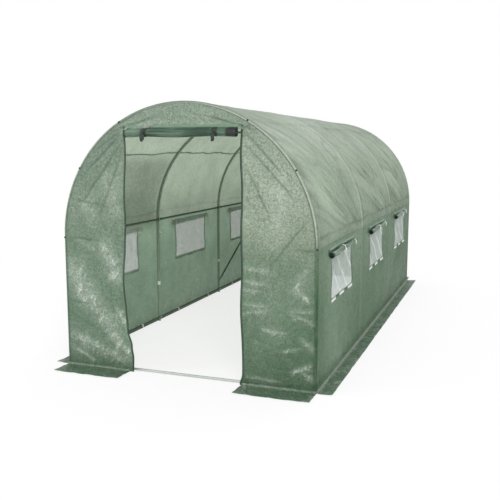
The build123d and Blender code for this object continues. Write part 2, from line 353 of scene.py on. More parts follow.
@dataclass(frozen=True)
class FilmFinish:
    """Scrim-reinforced film that lets light through, flecked and creased: greener low down and paler high up,
    which is painted shade low down and painted light high up.
    """

    name: str
    stops: Stops
    glow: Colour
    through: tuple[float, float] = (0.3, 0.3)
    clearing: tuple[float, float] = (1.0, 1.5)
    fleck: float = 0.85
    # white scales the painted highlights; crease is their colour, on crumples, crease lines, fold ridges and
    # glints, partly whitened creased film.
    white: float = 1.0
    crease: Colour = (232, 237, 228)
    # shade is the colour of painted shade in folds, wrinkles, the eave crease and along the inner hoops, and
    # of the seams.
    shade: Colour = (62, 84, 64)
    # edge is the colour of the pale band round the arched ends, of painted light behind the left rolls and of
    # the painted highlight on the ground flaps' fold.
    edge: Colour = (222, 222, 212)
    bump: float = 0.6
    gloss: float = 0.35

    def shade_and_seam_lines(self, bench: Bench, where: Shade) -> tuple[Shade, Shade]:
        """Shares of dark lines and of painted shade in the eave crease at a place.

        Args:
            bench: The material's nodes.
            where: The place on the film.

        Returns:
            The dark lines, which are double lines of painted shade along the inner hoops and a wavy dark line
            at the left haunch, and the painted shade in the creases over the eaves.
        """
        across, along, height = bench.axes(where)
        clear = 1 - abs(along).ramp(2.2, 2.21)
        wander = bench.grain(where, 2.6) * 0.06
        # Painted shade: double dark lines where the inner hoops lie under the film.
        hoop = 1 - abs(abs(abs(along) - 0.75) - 0.016).ramp(0.002, 0.008)
        # Painted shade in the crease over the eaves.
        eave = (1 - abs(height + wander - 1.1).ramp(0.0, 0.026)) * abs(across).ramp(0.9, 0.97)
        haunch = (1 - abs(height + wander - 1.655).ramp(0.004, 0.009)) * (1 - across.ramp(-0.6, -0.5))
        crease = eave * bench.grain(where, 9.0).ramp(0.15, 0.55)
        return (hoop * 0.35).most(haunch * 0.8) * clear, crease * clear

    def material(self) -> bpy.types.Material:
        """Builds the film's material.

        Returns:
            The material, which reads the mesh's crumple, edge, seam and fold numbers and its number of
            painted shade.
        """
        bench = Bench(self.name)
        where = bench.spot()
        _, _, height = bench.axes(where)
        crumple, fold = bench.attribute("crumple"), bench.attribute("fold")
        cloud = bench.grain(where, 5.0, 3.0)
        # Painted shade low down and painted light high up, by height through the stops.
        colour = bench.bands(height + (bench.grain(where, 1.8) - 0.5) * 0.3, self.stops)
        coarse, fine = bench.grain(where, 60.0, 3.0), bench.grain(where, 120.0, 2.0)
        fleck = coarse.ramp(0.32, 0.68) * 0.55 + fine.ramp(0.3, 0.7) * 0.45
        tone = 0.82 - 0.5 * self.fleck + fleck * self.fleck + cloud * 0.36
        colour = bench.tint(colour, tone)
        down = bench.streaks(where, (12.0, 48.0, 20.0), 6.0, 34.0)
        over = bench.streaks(where, (-20.0, -38.0, 65.0), 5.0, 30.0)
        level = bench.streaks(where, (5.0, 4.0, 40.0), 8.0, 52.0)
        lines = down.ramp(0.57, 0.7).most(over.ramp(0.58, 0.72)).most(level.ramp(0.6, 0.72))
        broken = bench.grain(where, 11.0, 2.0).ramp(0.42, 0.62)
        mesh = bench.wrinkles(where, 26.0, 0.09) * broken
        # Painted glints, and painted highlights on crumpled film, crease lines and fold ridges, partly
        # whitened creased film.
        glint = fine.ramp(0.56, 0.72) * (0.12 + crumple * 0.5)
        pale = (lines * 0.5 + mesh * 0.4 + 0.22) * crumple + mesh * 0.03 + glint * 0.6 + fold.most(0.0) * 0.5
        colour = bench.blend(colour, linear(self.crease), pale * self.white)
        # Painted shade in thin wrinkles.
        wrinkle_shade = bench.wrinkles(where, 13.0, 0.05) * (1 - broken) * 0.22
        seam, eave_shade = self.shade_and_seam_lines(bench, where)
        seam = seam.most(bench.attribute("seam") * 0.7)
        # Painted shade in the fold valleys, the wrinkles, along the inner hoops and in the eave crease, with
        # the stitched seams and the haunch line.
        colour = bench.blend(colour, linear(self.shade), (fold * -1.15).most(wrinkle_shade).most(seam).most(eave_shade))
        colour = bench.blend(colour, linear(self.edge), bench.attribute("edge"))
        pressed = (down + over + level) * 0.006 * (0.35 + crumple) + mesh * 0.0016
        dented = bench.facets(where, 15.0) * (0.14 + crumple * 0.45) + bench.facets(where, 55.0) * 0.7
        normal = bench.bump(pressed + dented, self.bump, 1.0)
        thread_u, thread_v, _ = bench.axes(bench.add("ShaderNodeUVMap"))
        weave = abs((thread_u * THREAD_TURN).sine()).most(abs((thread_v * THREAD_TURN).sine()))
        normal = bench.bump(weave * 0.0002 + fine * 0.0012, 0.5, 1.0, normal)
        film = bench.add("ShaderNodeBsdfPrincipled", {}, {
            "Base Color": colour, "Roughness": 0.36 + coarse * 0.2, "Normal": normal,
            "Specular IOR Level": self.gloss})
        glow = bench.add("ShaderNodeBsdfTranslucent", {}, {"Color": linear(self.glow), "Normal": normal})
        clear = self.through[0] + height.ramp(*self.clearing) * (self.through[1] - self.through[0])
        # Painted shade: less light comes through where the mesh marks it.
        share = clear * (0.7 + cloud * 0.6) * (1 - seam * 0.9) * (1 - bench.attribute("dense"))
        return bench.done(bench.add("ShaderNodeMixShader", {}, {0: share, 1: film, 2: glow}))


@dataclass(frozen=True)
class RollFinish:
    """Film wound up in several layers: deep green, with paler streaks along the roll that are crinkles with
    painted sheen, and darker ends.
    """

    name: str
    deep: Colour
    sheen_streak: Colour
    end: Colour
    roughness: float = 0.38

    def material(self) -> bpy.types.Material:
        """Builds the rolled film's material, which reads the mesh's pale and end numbers."""
        bench = Bench(self.name)
        where = bench.spot()
        layout = bench.add("ShaderNodeUVMap")
        threads, _, _ = bench.axes(layout)
        stretched = bench.vector("MULTIPLY", layout, (90.0, 4.0, 1.0))
        streaks = bench.grain(stretched, 1.0, 3.0)
        pale = bench.attribute("pale")
        share = streaks.ramp(0.42, 0.72) * 0.55 + pale * 0.55
        # Paler streaks along the roll: crinkles with painted sheen.
        colour = bench.blend(linear(self.deep), linear(self.sheen_streak), share)
        colour = bench.tint(colour, 0.82 + bench.grain(where, 130.0, 3.0) * 0.36)
        colour = bench.blend(colour, linear(self.end), bench.attribute("end"))
        weave = abs((threads * THREAD_TURN).sine()) * 0.0002
        normal = bench.bump(bench.facets(where, 34.0) * 0.35 + streaks * 0.003 + weave, 0.6, 1.0)
        gloss = self.roughness + bench.grain(where, 50.0) * 0.2
        return bench.skin(base_color=colour, roughness=gloss, normal=normal)


@dataclass(frozen=True)
class NetFinish:
    """Fine pale insect net: crossed threads, gaps that show what is behind, and film round its edge."""

    name: str
    thread: Colour
    binding: Colour
    pitch: float = 0.0022
    gap_alpha: float = 0.74

    def material(self) -> bpy.types.Material:
        """Builds the net's material, whose threads follow the net's own flat layout."""
        bench = Bench(self.name)
        where = bench.spot()
        across, along, _ = bench.axes(bench.add("ShaderNodeUVMap"))
        turn = math.pi / self.pitch
        threads = abs((across * turn).sine()).most(abs((along * turn).sine()))
        crumple, bound = bench.attribute("crumple"), bench.attribute("edge")
        tone = 0.8 + bench.grain(where, 30.0, 3.0) * 0.36
        colour = bench.tint(linear(self.thread), tone)
        colour = bench.blend(colour, (0.86, 0.88, 0.86, 1.0), crumple * 0.5)
        colour = bench.blend(colour, linear(self.binding), bound * 0.75)
        alpha = self.gap_alpha + threads.ramp(0.75, 0.95) * 0.1 + crumple * 0.16 + bound * 0.3
        normal = bench.bump(bench.facets(where, 14.0) + threads * 0.0002, 0.5, 1.0)
        return bench.skin(base_color=colour, alpha=alpha, roughness=0.7, normal=normal)


@dataclass(frozen=True)
class TubeFinish:
    """Coated or bare steel tube with a faint drawn grain, dull patches and rubbed places."""

    name: str
    coat: Colour
    worn: Colour
    metallic: float
    roughness: float

    def material(self) -> bpy.types.Material:
        """Builds the tube's material."""
        bench = Bench(self.name)
        where = bench.spot()
        patch = bench.grain(where, 6.0, 4.0)
        speck = bench.grain(where, 90.0, 3.0)
        colour = bench.blend(linear(self.coat), linear(self.worn), patch.ramp(0.5, 0.8) * 0.45)
        colour = bench.tint(colour, 0.88 + speck * 0.24)
        gloss = self.roughness + patch * 0.16 + speck * 0.08
        normal = bench.bump(bench.grain(where, 240.0) * 0.0003, 0.4, 1.0)
        return bench.skin(base_color=colour, metallic=self.metallic, roughness=gloss, normal=normal)


@dataclass(frozen=True)
class TrimFinish:
    """Plastic, webbing or fastener strip: one colour with a fine rib and slight soiling."""

    name: str
    colour: Colour
    soil: Colour
    rib: float
    roughness: float

    def material(self) -> bpy.types.Material:
        """Builds the trim's material; rib is the spacing of its ribs in metres."""
        bench = Bench(self.name)
        where = bench.spot()
        along, across, up = bench.axes(where)
        soil = bench.grain(where, 28.0, 4.0).ramp(0.5, 0.85)
        colour = bench.blend(linear(self.colour), linear(self.soil), soil * 0.5)
        colour = bench.tint(colour, 0.9 + bench.grain(where, 300.0) * 0.2)
        turn = math.pi / self.rib
        ribs = ((along + across) * turn).sine() * (up * turn).sine()
        normal = bench.bump(ribs * 0.0003, 0.6, 1.0)
        gloss = self.roughness + bench.grain(where, 60.0) * 0.15
        return bench.skin(base_color=colour, roughness=gloss, normal=normal)


@dataclass(frozen=True)
class ZipFinish:
    """Zip tape on the film: green tape with a dark coil along its inner edge."""

    name: str
    tape: Colour
    coil: Colour

    def material(self) -> bpy.types.Material:
        """Builds the tape's material, whose coil follows the tape's own flat layout."""
        bench = Bench(self.name)
        where = bench.spot()
        across, along, _ = bench.axes(bench.add("ShaderNodeUVMap"))
        coil = 1 - across.ramp(0.006, 0.008)
        teeth = (along * 1570.0).sine()
        colour = bench.blend(linear(self.tape), linear(self.coil), coil * (0.85 + teeth * 0.12))
        colour = bench.tint(colour, 0.85 + bench.grain(where, 120.0, 3.0) * 0.3)
        normal = bench.bump(teeth * coil * 0.0006 + bench.facets(where, 40.0) * 0.3, 0.6, 1.0)
        gloss = 0.5 + bench.grain(where, 70.0) * 0.2
        return bench.skin(base_color=colour, roughness=gloss, normal=normal)


class Piece:
    """One mesh piece of the scene while it is being made."""

    def __init__(self, name: str, levels: tuple[str, ...] = ()) -> None:
        """Starts an empty mesh.

        Args:
            name: The piece's name.
            levels: Names of the numbers that its points carry for the material.
        """
        self.name = name
        self.bm = bmesh.new()
        self.uv = self.bm.loops.layers.uv.new("flat")
        self.levels = {word: self.bm.verts.layers.float.new(word) for word in levels}

    def patch(
        self, cells: tuple[int, int], place: Place, flat: tuple[float, float],
        outward: Callable[[Vector], Vector], hole: Callable[[float, float], bool] | None = None,
        levels: dict[str, Level] | None = None,
    ) -> None:
        """Adds one sheet: a grid whose points are moved to their places.

        Args:
            cells: Numbers of cells across and along.
            place: Gives the place of a point from its two shares of the grid.
            flat: Width and length of the cut sheet, for its flat layout.
            outward: Direction that the faces turn to, from a face's centre.
            hole: Says whether the cell at two shares of the grid is cut out.
            levels: For each number of the points, how it follows from the place.
        """
        across, along = cells
        made = bmesh.ops.create_grid(self.bm, x_segments=across, y_segments=along, size=0.5)["verts"]
        share = {v: (v.co.x + 0.5, v.co.y + 0.5) for v in made}
        faces = list({f for v in made for f in v.link_faces})
        for f in faces:
            for loop in f.loops:
                u, w = share[loop.vert]
                loop[self.uv].uv = (u * flat[0], w * flat[1])
        if hole is not None:
            cut = [f for f in faces if hole(f.calc_center_median().x + 0.5, f.calc_center_median().y + 0.5)]
            faces = [f for f in faces if f not in set(cut)]
            bmesh.ops.delete(self.bm, geom=cut, context="FACES")
            made = [v for v in made if v.is_valid]
        for v in made:
            v.co = place(*share[v])
            for word, level in (levels or {}).items():
                v[self.levels[word]] = level(v.co)
        turned = 0.0
        for f in faces:
            f.normal_update()
            f.smooth = True
            turned += f.normal.dot(outward(f.calc_center_median())) * f.calc_area()
        if turned < 0:
            bmesh.ops.reverse_faces(self.bm, faces=faces)

    def finish(
        self, material: bpy.types.Material, slot: str, thickness: float = 0.0, nodes: Iterable[str] = (),
    ) -> bpy.types.Object:
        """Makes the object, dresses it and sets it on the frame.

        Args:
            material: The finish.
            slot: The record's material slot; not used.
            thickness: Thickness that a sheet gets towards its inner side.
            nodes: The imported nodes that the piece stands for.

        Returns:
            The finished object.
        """
        mesh = bpy.data.meshes.new(self.name)
        self.bm.to_mesh(mesh)
        self.bm.free()
        made = bpy.data.objects.new(self.name, mesh)
        bpy.context.scene.collection.objects.link(made)
        mesh.materials.append(material)
        if thickness:
            shell = made.modifiers.new("thickness", "SOLIDIFY")
            shell.thickness, shell.offset = thickness, -1.0
        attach(made, BODY)
        if nodes:
            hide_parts(*nodes)
        LOG.info("%s: %d faces", self.name, len(mesh.polygons))
        return made


@dataclass(frozen=True)
class Stroke:
    """One crease of an end wall, fading at both ends: a ridge whose crumple gets painted highlights, or a
    valley with painted shade if its height is below 0.
    """

    start: tuple[float, float]
    end: tuple[float, float]
    width: float
    height: float

    def at(self, x: float, z: float) -> tuple[float, float]:
        """Reads the crease at a place on the wall.

        Args:
            x: Place across the tunnel.
            z: Height.

        Returns:
            Height of the ridge, and how crumpled the film is there, which also sets the painted highlights
            there.
        """
        dx, dz = self.end[0] - self.start[0], self.end[1] - self.start[1]
        run = math.hypot(dx, dz)
        along = ((x - self.start[0]) * dx + (z - self.start[1]) * dz) / run
        off = ((x - self.start[0]) * dz - (z - self.start[1]) * dx) / run
        if not -0.06 < along < run + 0.06 or abs(off) > 5 * self.width + 0.02:
            return 0.0, 0.0
        fade = soft_step(along, -0.06, 0.3 * run) * (1 - soft_step(along, 0.7 * run, run + 0.06))
        sway = 0.6 * self.width * waver(along * 9.0, run * 31.0, self.width * 90.0)
        return self.height * fade * hump(off + sway, self.width), fade * hump(off, 2.2 * self.width)


STROKES = tuple(Stroke(*row) for row in (
    ((-0.97, 0.84), (-0.78, 0.5), 0.04, 0.009), ((-0.86, 0.62), (-0.54, 0.26), 0.034, 0.009),
    ((-0.98, 0.26), (-0.46, 0.05), 0.021, 0.009), ((-0.97, 0.15), (-0.74, 0.04), 0.012, 0.007),
    ((-0.6, 0.27), (-0.42, 0.1), 0.026, 0.008), ((-0.66, 1.0), (-0.52, 0.64), 0.03, 0.009),
    ((-0.55, 0.47), (-0.46, 0.32), 0.014, 0.007), ((-0.88, 0.98), (-0.74, 0.92), 0.012, 0.004),
    ((-0.99, 0.51), (-0.78, 0.5), 0.008, -0.003), ((-0.97, 0.42), (-0.7, 0.3), 0.008, -0.002),
    ((-0.47, 1.78), (-0.82, 1.46), 0.009, -0.005), ((-0.47, 1.72), (-0.86, 1.22), 0.009, -0.005),
    ((-0.47, 1.66), (-0.7, 1.12), 0.008, -0.004), ((-0.47, 1.8), (-0.7, 1.66), 0.008, -0.004),
    ((-0.56, 1.79), (-0.18, 1.9), 0.009, -0.005), ((-0.54, 1.82), (-0.3, 1.95), 0.009, -0.004),
    ((-0.5, 1.79), (-0.1, 1.85), 0.012, 0.004), ((0.54, 1.8), (0.16, 1.9), 0.009, -0.005),
    ((-0.9, 1.3), (-0.6, 1.24), 0.008, -0.003), ((-0.93, 1.0), (-0.7, 0.985), 0.008, -0.004),
    ((-0.62, 1.5), (-0.52, 1.1), 0.03, 0.004), ((-0.82, 1.3), (-0.7, 1.1), 0.03, 0.004),
    ((0.48, 1.78), (0.74, 1.5), 0.009, -0.005), ((0.48, 1.7), (0.86, 1.3), 0.009, -0.005),
    ((0.48, 1.55), (0.66, 1.2), 0.009, -0.004), ((0.93, 1.2), (0.66, 0.86), 0.009, -0.004),
    ((0.75, 1.5), (0.66, 1.0), 0.04, 0.004), ((0.84, 0.72), (0.94, 0.64), 0.011, 0.006),
    ((0.86, 0.56), (0.98, 0.58), 0.008, 0.006), ((0.82, 0.53), (0.98, 0.49), 0.009, 0.006),
    ((0.9, 0.36), (0.98, 0.3), 0.011, 0.007), ((0.76, 0.27), (0.86, 0.3), 0.008, 0.005),
    ((0.82, 0.13), (0.97, 0.19), 0.011, 0.007), ((0.9, 0.13), (0.98, 0.09), 0.009, 0.006),
    ((0.46, 0.84), (0.66, 0.83), 0.008, 0.005), ((0.46, 0.75), (0.63, 0.73), 0.008, 0.005),
    ((0.46, 0.69), (0.58, 0.68), 0.007, 0.005), ((0.46, 0.59), (0.6, 0.58), 0.008, 0.005),
    ((0.46, 0.52), (0.64, 0.55), 0.007, 0.005), ((0.62, 0.42), (0.76, 0.4), 0.01, 0.004),
    ((0.5, 0.06), (0.74, 0.05), 0.008, 0.005), ((0.94, 0.9), (0.84, 0.7), 0.014, 0.004),
    ((0.88, 0.99), (0.985, 0.985), 0.013, -0.005),
))


@dataclass(frozen=True)
class Tunnel:
    """Sizes of the tunnel, and the soft form that its film takes between the hoops."""

    radius: float = 1.0
    eave: float = 1.0
    length: float = 4.5
    rim: float = 0.0148
    inner_hoop: float = 0.75
    window_length: float = 0.7
    window_sill: float = 0.58
    window_head: float = 0.93
    window_rows: tuple[float, ...] = (-1.5, 0.0, 1.5)
    film: float = 0.0012
    cell: float = 0.0135

    @property
    def end_hoop(self) -> float:
        """Distance of the end hoops from the middle of the tunnel."""
        return self.length / 2 - self.rim

    @property
    def quarter(self) -> float:
        """Length of film from an eave up to the ridge."""
        return self.radius * math.pi / 2

    def rows(self) -> list[tuple[float, float]]:
        """Gives the film's rows along the tunnel, rounded over both end hoops.

        Returns:
            Pairs of place along the tunnel and inset from the outer surface.
        """
        stops = [-self.end_hoop, self.end_hoop]
        for row in self.window_rows:
            stops += [row - self.window_length / 2, row + self.window_length / 2]
        stops.sort()
        straight = [stops[0]]
        for low, high in zip(stops, stops[1:]):
            count = max(1, round((high - low) / self.cell))
            straight += [low + (high - low) * (k + 1) / count for k in range(count)]
        turn = [math.radians(a) for a in (90, 68, 45, 22)]
        wrap = [(self.end_hoop + self.rim * math.sin(a), self.rim * (1 - math.cos(a))) for a in turn]
        front = [(-y, inset) for y, inset in wrap]
        return front + [(y, 0.0) for y in straight] + wrap[::-1]

    def bay_share(self, y: float) -> float:
        """Gives the share of the way from one hoop to the next."""
        stops = (-self.end_hoop, -self.inner_hoop, self.inner_hoop, self.end_hoop)
        for low, high in zip(stops, stops[1:]):
            if low <= y <= high:
                return (y - low) / (high - low)
        return 0.0

    def fold(self, side: Side, y: float, girth: float) -> float:
        """Gives the fold lines of the roof, which fan out from the rear foot of each bay.

        Args:
            side: The tunnel's side.
            y: Place along the tunnel.
            girth: Distance from the ground along the film.

        Returns:
            Above 0 on a ridge, down to -1 in a sharp valley.
        """
        corner = next((c for c in (-self.inner_hoop, self.inner_hoop) if y <= c), self.end_hoop)
        ahead, above = corner + 0.14 - y, girth - 0.8
        reach, angle = math.hypot(ahead, above), math.atan2(above, ahead)
        seed = 7.0 * corner + 3.0 * side.value
        bend = 0.35 * waver(y * 2.0, girth * 2.0, seed)
        broad = waver(angle * 6.0 + bend, reach * 0.8, seed)
        thin = waver(angle * 12.0 + bend, reach * 0.8, seed + 5.0)
        fine = waver(angle * 23.0 + 2 * bend, reach * 1.2, seed + 4.0)
        broken = soft_step(waver(y * 1.7, girth * 2.2, seed + 9.0), -0.3, 0.2)
        cross = waver(y * 5.0 - girth * 2.0, girth * 3.4 + y * 2.0, seed + 2.0)
        slant = 1 - 0.75 * soft_step(angle, 0.75, 1.15)
        sharp = 5.0 + 3.0 * reach
        fan = broken * max(0.0, 1 - abs(thin) * sharp) + 0.5 * max(0.0, 1 - abs(fine) * 0.8 * sharp)
        valley = slant * fan + 0.5 * max(0.0, 1 - abs(cross) * 9.0) * (1 - broken)
        hold = soft_step(girth, 0.96, 1.1) * (1 - 0.6 * soft_step(girth, 2.1, 2.5))
        hold *= soft_step(reach, 0.12, 0.3)
        hold *= 1.0 if side is Side.RIGHT else 0.35
        return hold * max(-1.0, (0.6 if broad > 0 else 0.3) * slant * broad - valley)

    def hoop_light_and_shade(self, y: float) -> float:
        """Gives painted light on a line over the inner hoops and painted shade on its rear side, as fold
        numbers.
        """
        past = min((y - self.inner_hoop, y + self.inner_hoop), key=abs)
        return 1.1 * hump(past + 0.012, 0.026) - 0.75 * hump(past - 0.042, 0.026)

    def relief(self, side: Side, y: float, girth: float) -> float:
        """Gives how far the film stands out from its plain surface.

        Args:
            side: The tunnel's side.
            y: Place along the tunnel.
            girth: Distance from the ground along the film.

        Returns:
            The offset in metres, outwards.
        """
        belly = math.sin(math.pi * self.bay_share(y))
        hold = min(1.0, 2.4 * belly) * soft_step(girth, 0.02, 0.16)
        crown = soft_step(self.eave + self.quarter - girth, 0.0, 0.45)
        seed = 5.0 + 11.0 * side.value
        small = 0.0022 * waver(y * 8.0, girth * 6.0, seed)
        small += 0.0012 * waver(y * 19.0, girth * 15.0, seed)
        broad = 0.006 * waver(y * 2.4, girth * 2.0, seed)
        pleat = -0.004 * hump(girth - self.eave - 0.07, 0.03) * min(1.0, 3 * belly)
        plain = -0.01 * belly ** 0.6 * soft_step(girth, 0.0, 0.2) * (0.3 + 0.7 * crown)
        folds = crown * (broad + 0.0055 * self.fold(side, y, girth)) + small
        return max(-0.015, plain + hold * folds + pleat)

    def cover(self, side: Side, y: float, inset: float, girth: float, lift: float = 0.0) -> Vector:
        """Gives the place of a point of the cover.

        Args:
            side: The tunnel's side.
            y: Place along the tunnel.
            inset: Distance inside the outer surface, where the film rounds an end hoop.
            girth: Distance from the ground along the film.
            lift: Distance outside the film.

        Returns:
            The point in the shared frame.
        """
        out = self.radius - inset + lift + (self.relief(side, y, girth) if inset == 0 else 0.0)
        turn = max(0.0, girth - self.eave) / self.radius
        low = min(girth, self.eave)
        return Vector((side.value * out * math.cos(turn), y, low + out * math.sin(turn)))

    def crumple(self, at: Vector) -> float:
        """Gives how crumpled the cover is at a place."""
        rough = noise.noise(at * 1.7) + 0.5 * noise.noise(at * 4.0)
        low = 0.25 * (1 - soft_step(at.z, 0.1, 0.5))
        return min(1.0, max(0.0, 0.15 + 0.55 * rough + low))

    def edge(self, at: Vector) -> float:
        """Gives how pale the film is at a place: a pale band round the arched ends, paler on the right as a
        painted highlight, and painted light behind the left rolled flaps that offsets their shadow.
        """
        arch = soft_step(at.z, self.eave - 0.02, self.eave + 0.1)
        # Painted highlight: the band is paler towards the right, lit side.
        arch *= 0.06 + 0.44 * soft_step(at.x, -0.2, 0.4)
        tape = arch * soft_step(abs(at.y), self.end_hoop + 0.009, self.end_hoop + 0.013)
        if at.x > 0 or abs(at.z - self.window_head) > 0.045:
            return tape
        # Painted light on the wall behind the left rolls, against their shadow.
        beside = min(abs(at.y - row) for row in self.window_rows)
        behind = 1 - soft_step(abs(at.z - self.window_head), 0.024, 0.042)
        return max(tape, 0.75 * (1 - soft_step(beside, 0.42, 0.46)) * behind)


@dataclass(frozen=True)
class Cover:
    """The film over the hoops: the arched roof and the two side walls with their window openings."""

    tunnel: Tunnel
    roof_cells: int = 232
    sill_cells: int = 44
    window_cells: int = 27
    head_cells: int = 6

    def outward(self, at: Vector) -> Vector:
        """The direction away from the middle of the tunnel at a place."""
        return Vector((at.x, 0.0, max(0.0, at.z - self.tunnel.eave)))

    def levels(self) -> dict[str, Level]:
        """The numbers that the film's points carry for its finish."""
        tunnel = self.tunnel

        def seam(at: Vector) -> float:
            """Stitches along both end hoops."""
            stitched = 0.6 + 0.4 * math.sin(at.z * 170.0)
            return 0.8 * stitched * hump(abs(at.y) - tunnel.end_hoop - 0.002, 0.004)

        def fold(at: Vector) -> float:
            """Folds of the roof and the marks over the inner hoops, which the finish paints as light on
            ridges and shade in valleys.
            """
            if abs(at.y) >= tunnel.end_hoop:
                return 0.0
            side = Side.RIGHT if at.x > 0 else Side.LEFT
            turn = math.atan2(max(0.0, at.z - tunnel.eave), abs(at.x))
            girth = tunnel.eave + turn * tunnel.radius if turn > 0 else at.z
            return tunnel.fold(side, at.y, girth) + tunnel.hoop_light_and_shade(at.y)

        def dense(at: Vector) -> float:
            """Painted shade over the arch of the first left bay, where the film lets less light through."""
            arched = soft_step(at.z, 0.85, 1.05) * (1 - soft_step(at.z, 1.5, 1.66))
            return 0.5 * arched * (1 - soft_step(at.y, -0.9, -0.6)) if at.x < 0 else 0.0

        return {"crumple": tunnel.crumple, "edge": tunnel.edge, "seam": seam, "fold": fold, "dense": dense}

    def roof(self, film: bpy.types.Material) -> bpy.types.Object:
        """Makes the roof, one sheet from eave to eave."""
        tunnel, rows = self.tunnel, self.tunnel.rows()
        piece = Piece("roof_cover", FILM_LEVELS)

        def place(u: float, v: float) -> Vector:
            """A point of the roof, from the right eave to the left one."""
            y, inset = row_at(rows, v)
            side = Side.RIGHT if u < 0.5 else Side.LEFT
            girth = tunnel.eave + 2 * tunnel.quarter * min(u, 1 - u)
            return tunnel.cover(side, y, inset, girth)

        flat = (2 * tunnel.quarter, tunnel.length + 2 * tunnel.rim)
        piece.patch((self.roof_cells, len(rows) - 1), place, flat, self.outward, levels=self.levels())
        nodes = [f"{side.word}_{strip}_roof" for side in Side for strip in ("eave", "haunch", "crown")]
        made = piece.finish(film, "roof_film", nodes=nodes)
        return made

    def window_sway(self, side: Side, y: float, z: float) -> float:
        """Gives how far the film is drawn along the tunnel at a window.

        Args:
            side: The tunnel's side; the film of the right one hangs looser.
            y: Place along the tunnel.
            z: Height.

        Returns:
            The shift in metres, so that the window leans and its edges wave.
        """
        tunnel, sway = self.tunnel, 0.0
        loose = 1.0 if side is Side.RIGHT else 0.3
        height = (z - tunnel.window_sill) / (tunnel.window_head - tunnel.window_sill)
        for row in tunnel.window_rows:
            for end in (-0.5, 0.5):
                near = hump(y - row - end * tunnel.window_length, 0.07)
                wave = math.sin(math.pi * (2.4 * height + 0.3 * row + end))
                wave -= 1.5 * end * math.sin(math.pi * height)
                sway += 0.015 * near * wave
            sway += 0.022 * (1 - 2 * height) * (1 - soft_step(abs(y - row), 0.33, 0.55))
        return loose * sway * soft_step(height, -0.3, 0.05) * (1 - soft_step(height, 0.95, 1.2))

    def wall_point(self, side: Side, y: float, z: float, lift: float = 0.0) -> Vector:
        """A point of a side wall that may stand off the film by lift."""
        return self.tunnel.cover(side, y + self.window_sway(side, y, z), 0.0, z, lift)

    def wall(self, side: Side, film: bpy.types.Material) -> bpy.types.Object:
        """Makes one side wall with its three window openings.

        Args:
            side: The tunnel's side.
            film: The film's material.

        Returns:
            The wall.
        """
        tunnel, rows = self.tunnel, self.tunnel.rows()
        piece = Piece(f"{side.word}_wall_cover", FILM_LEVELS)
        stops = (0.0, tunnel.window_sill, tunnel.window_head, tunnel.eave)
        heights = [0.0]
        for low, high, count in zip(stops, stops[1:], (self.sill_cells, self.window_cells, self.head_cells)):
            heights += [low + (high - low) * (k + 1) / count for k in range(count)]
        steps = (len(heights) - 1, len(rows) - 1)

        def place(u: float, v: float) -> Vector:
            """A point of the wall, from the ground to the eave."""
            (y, inset), z = row_at(rows, v), row_at(heights, u)
            sway = self.window_sway(side, y, z) if inset == 0 else 0.0
            return tunnel.cover(side, y + sway, inset, z)

        def opening(u: float, v: float) -> bool:
            """Whether a cell lies in a window."""
            low, low_row = int(u * steps[0]), int(v * steps[1])
            z = (heights[low] + heights[low + 1]) / 2
            y = (rows[low_row][0] + rows[low_row + 1][0]) / 2
            inside = any(abs(y - row) < tunnel.window_length / 2 for row in tunnel.window_rows)
            return inside and tunnel.window_sill < z < tunnel.window_head

        flat = (tunnel.eave, tunnel.length + 2 * tunnel.rim)
        piece.patch(steps, place, flat, self.outward, opening, self.levels())
        nodes = [f"{side.word}_wall_{bay}" for bay in (1, 2, 3)]
        made = piece.finish(film, "wall_film", nodes=nodes)
        return made


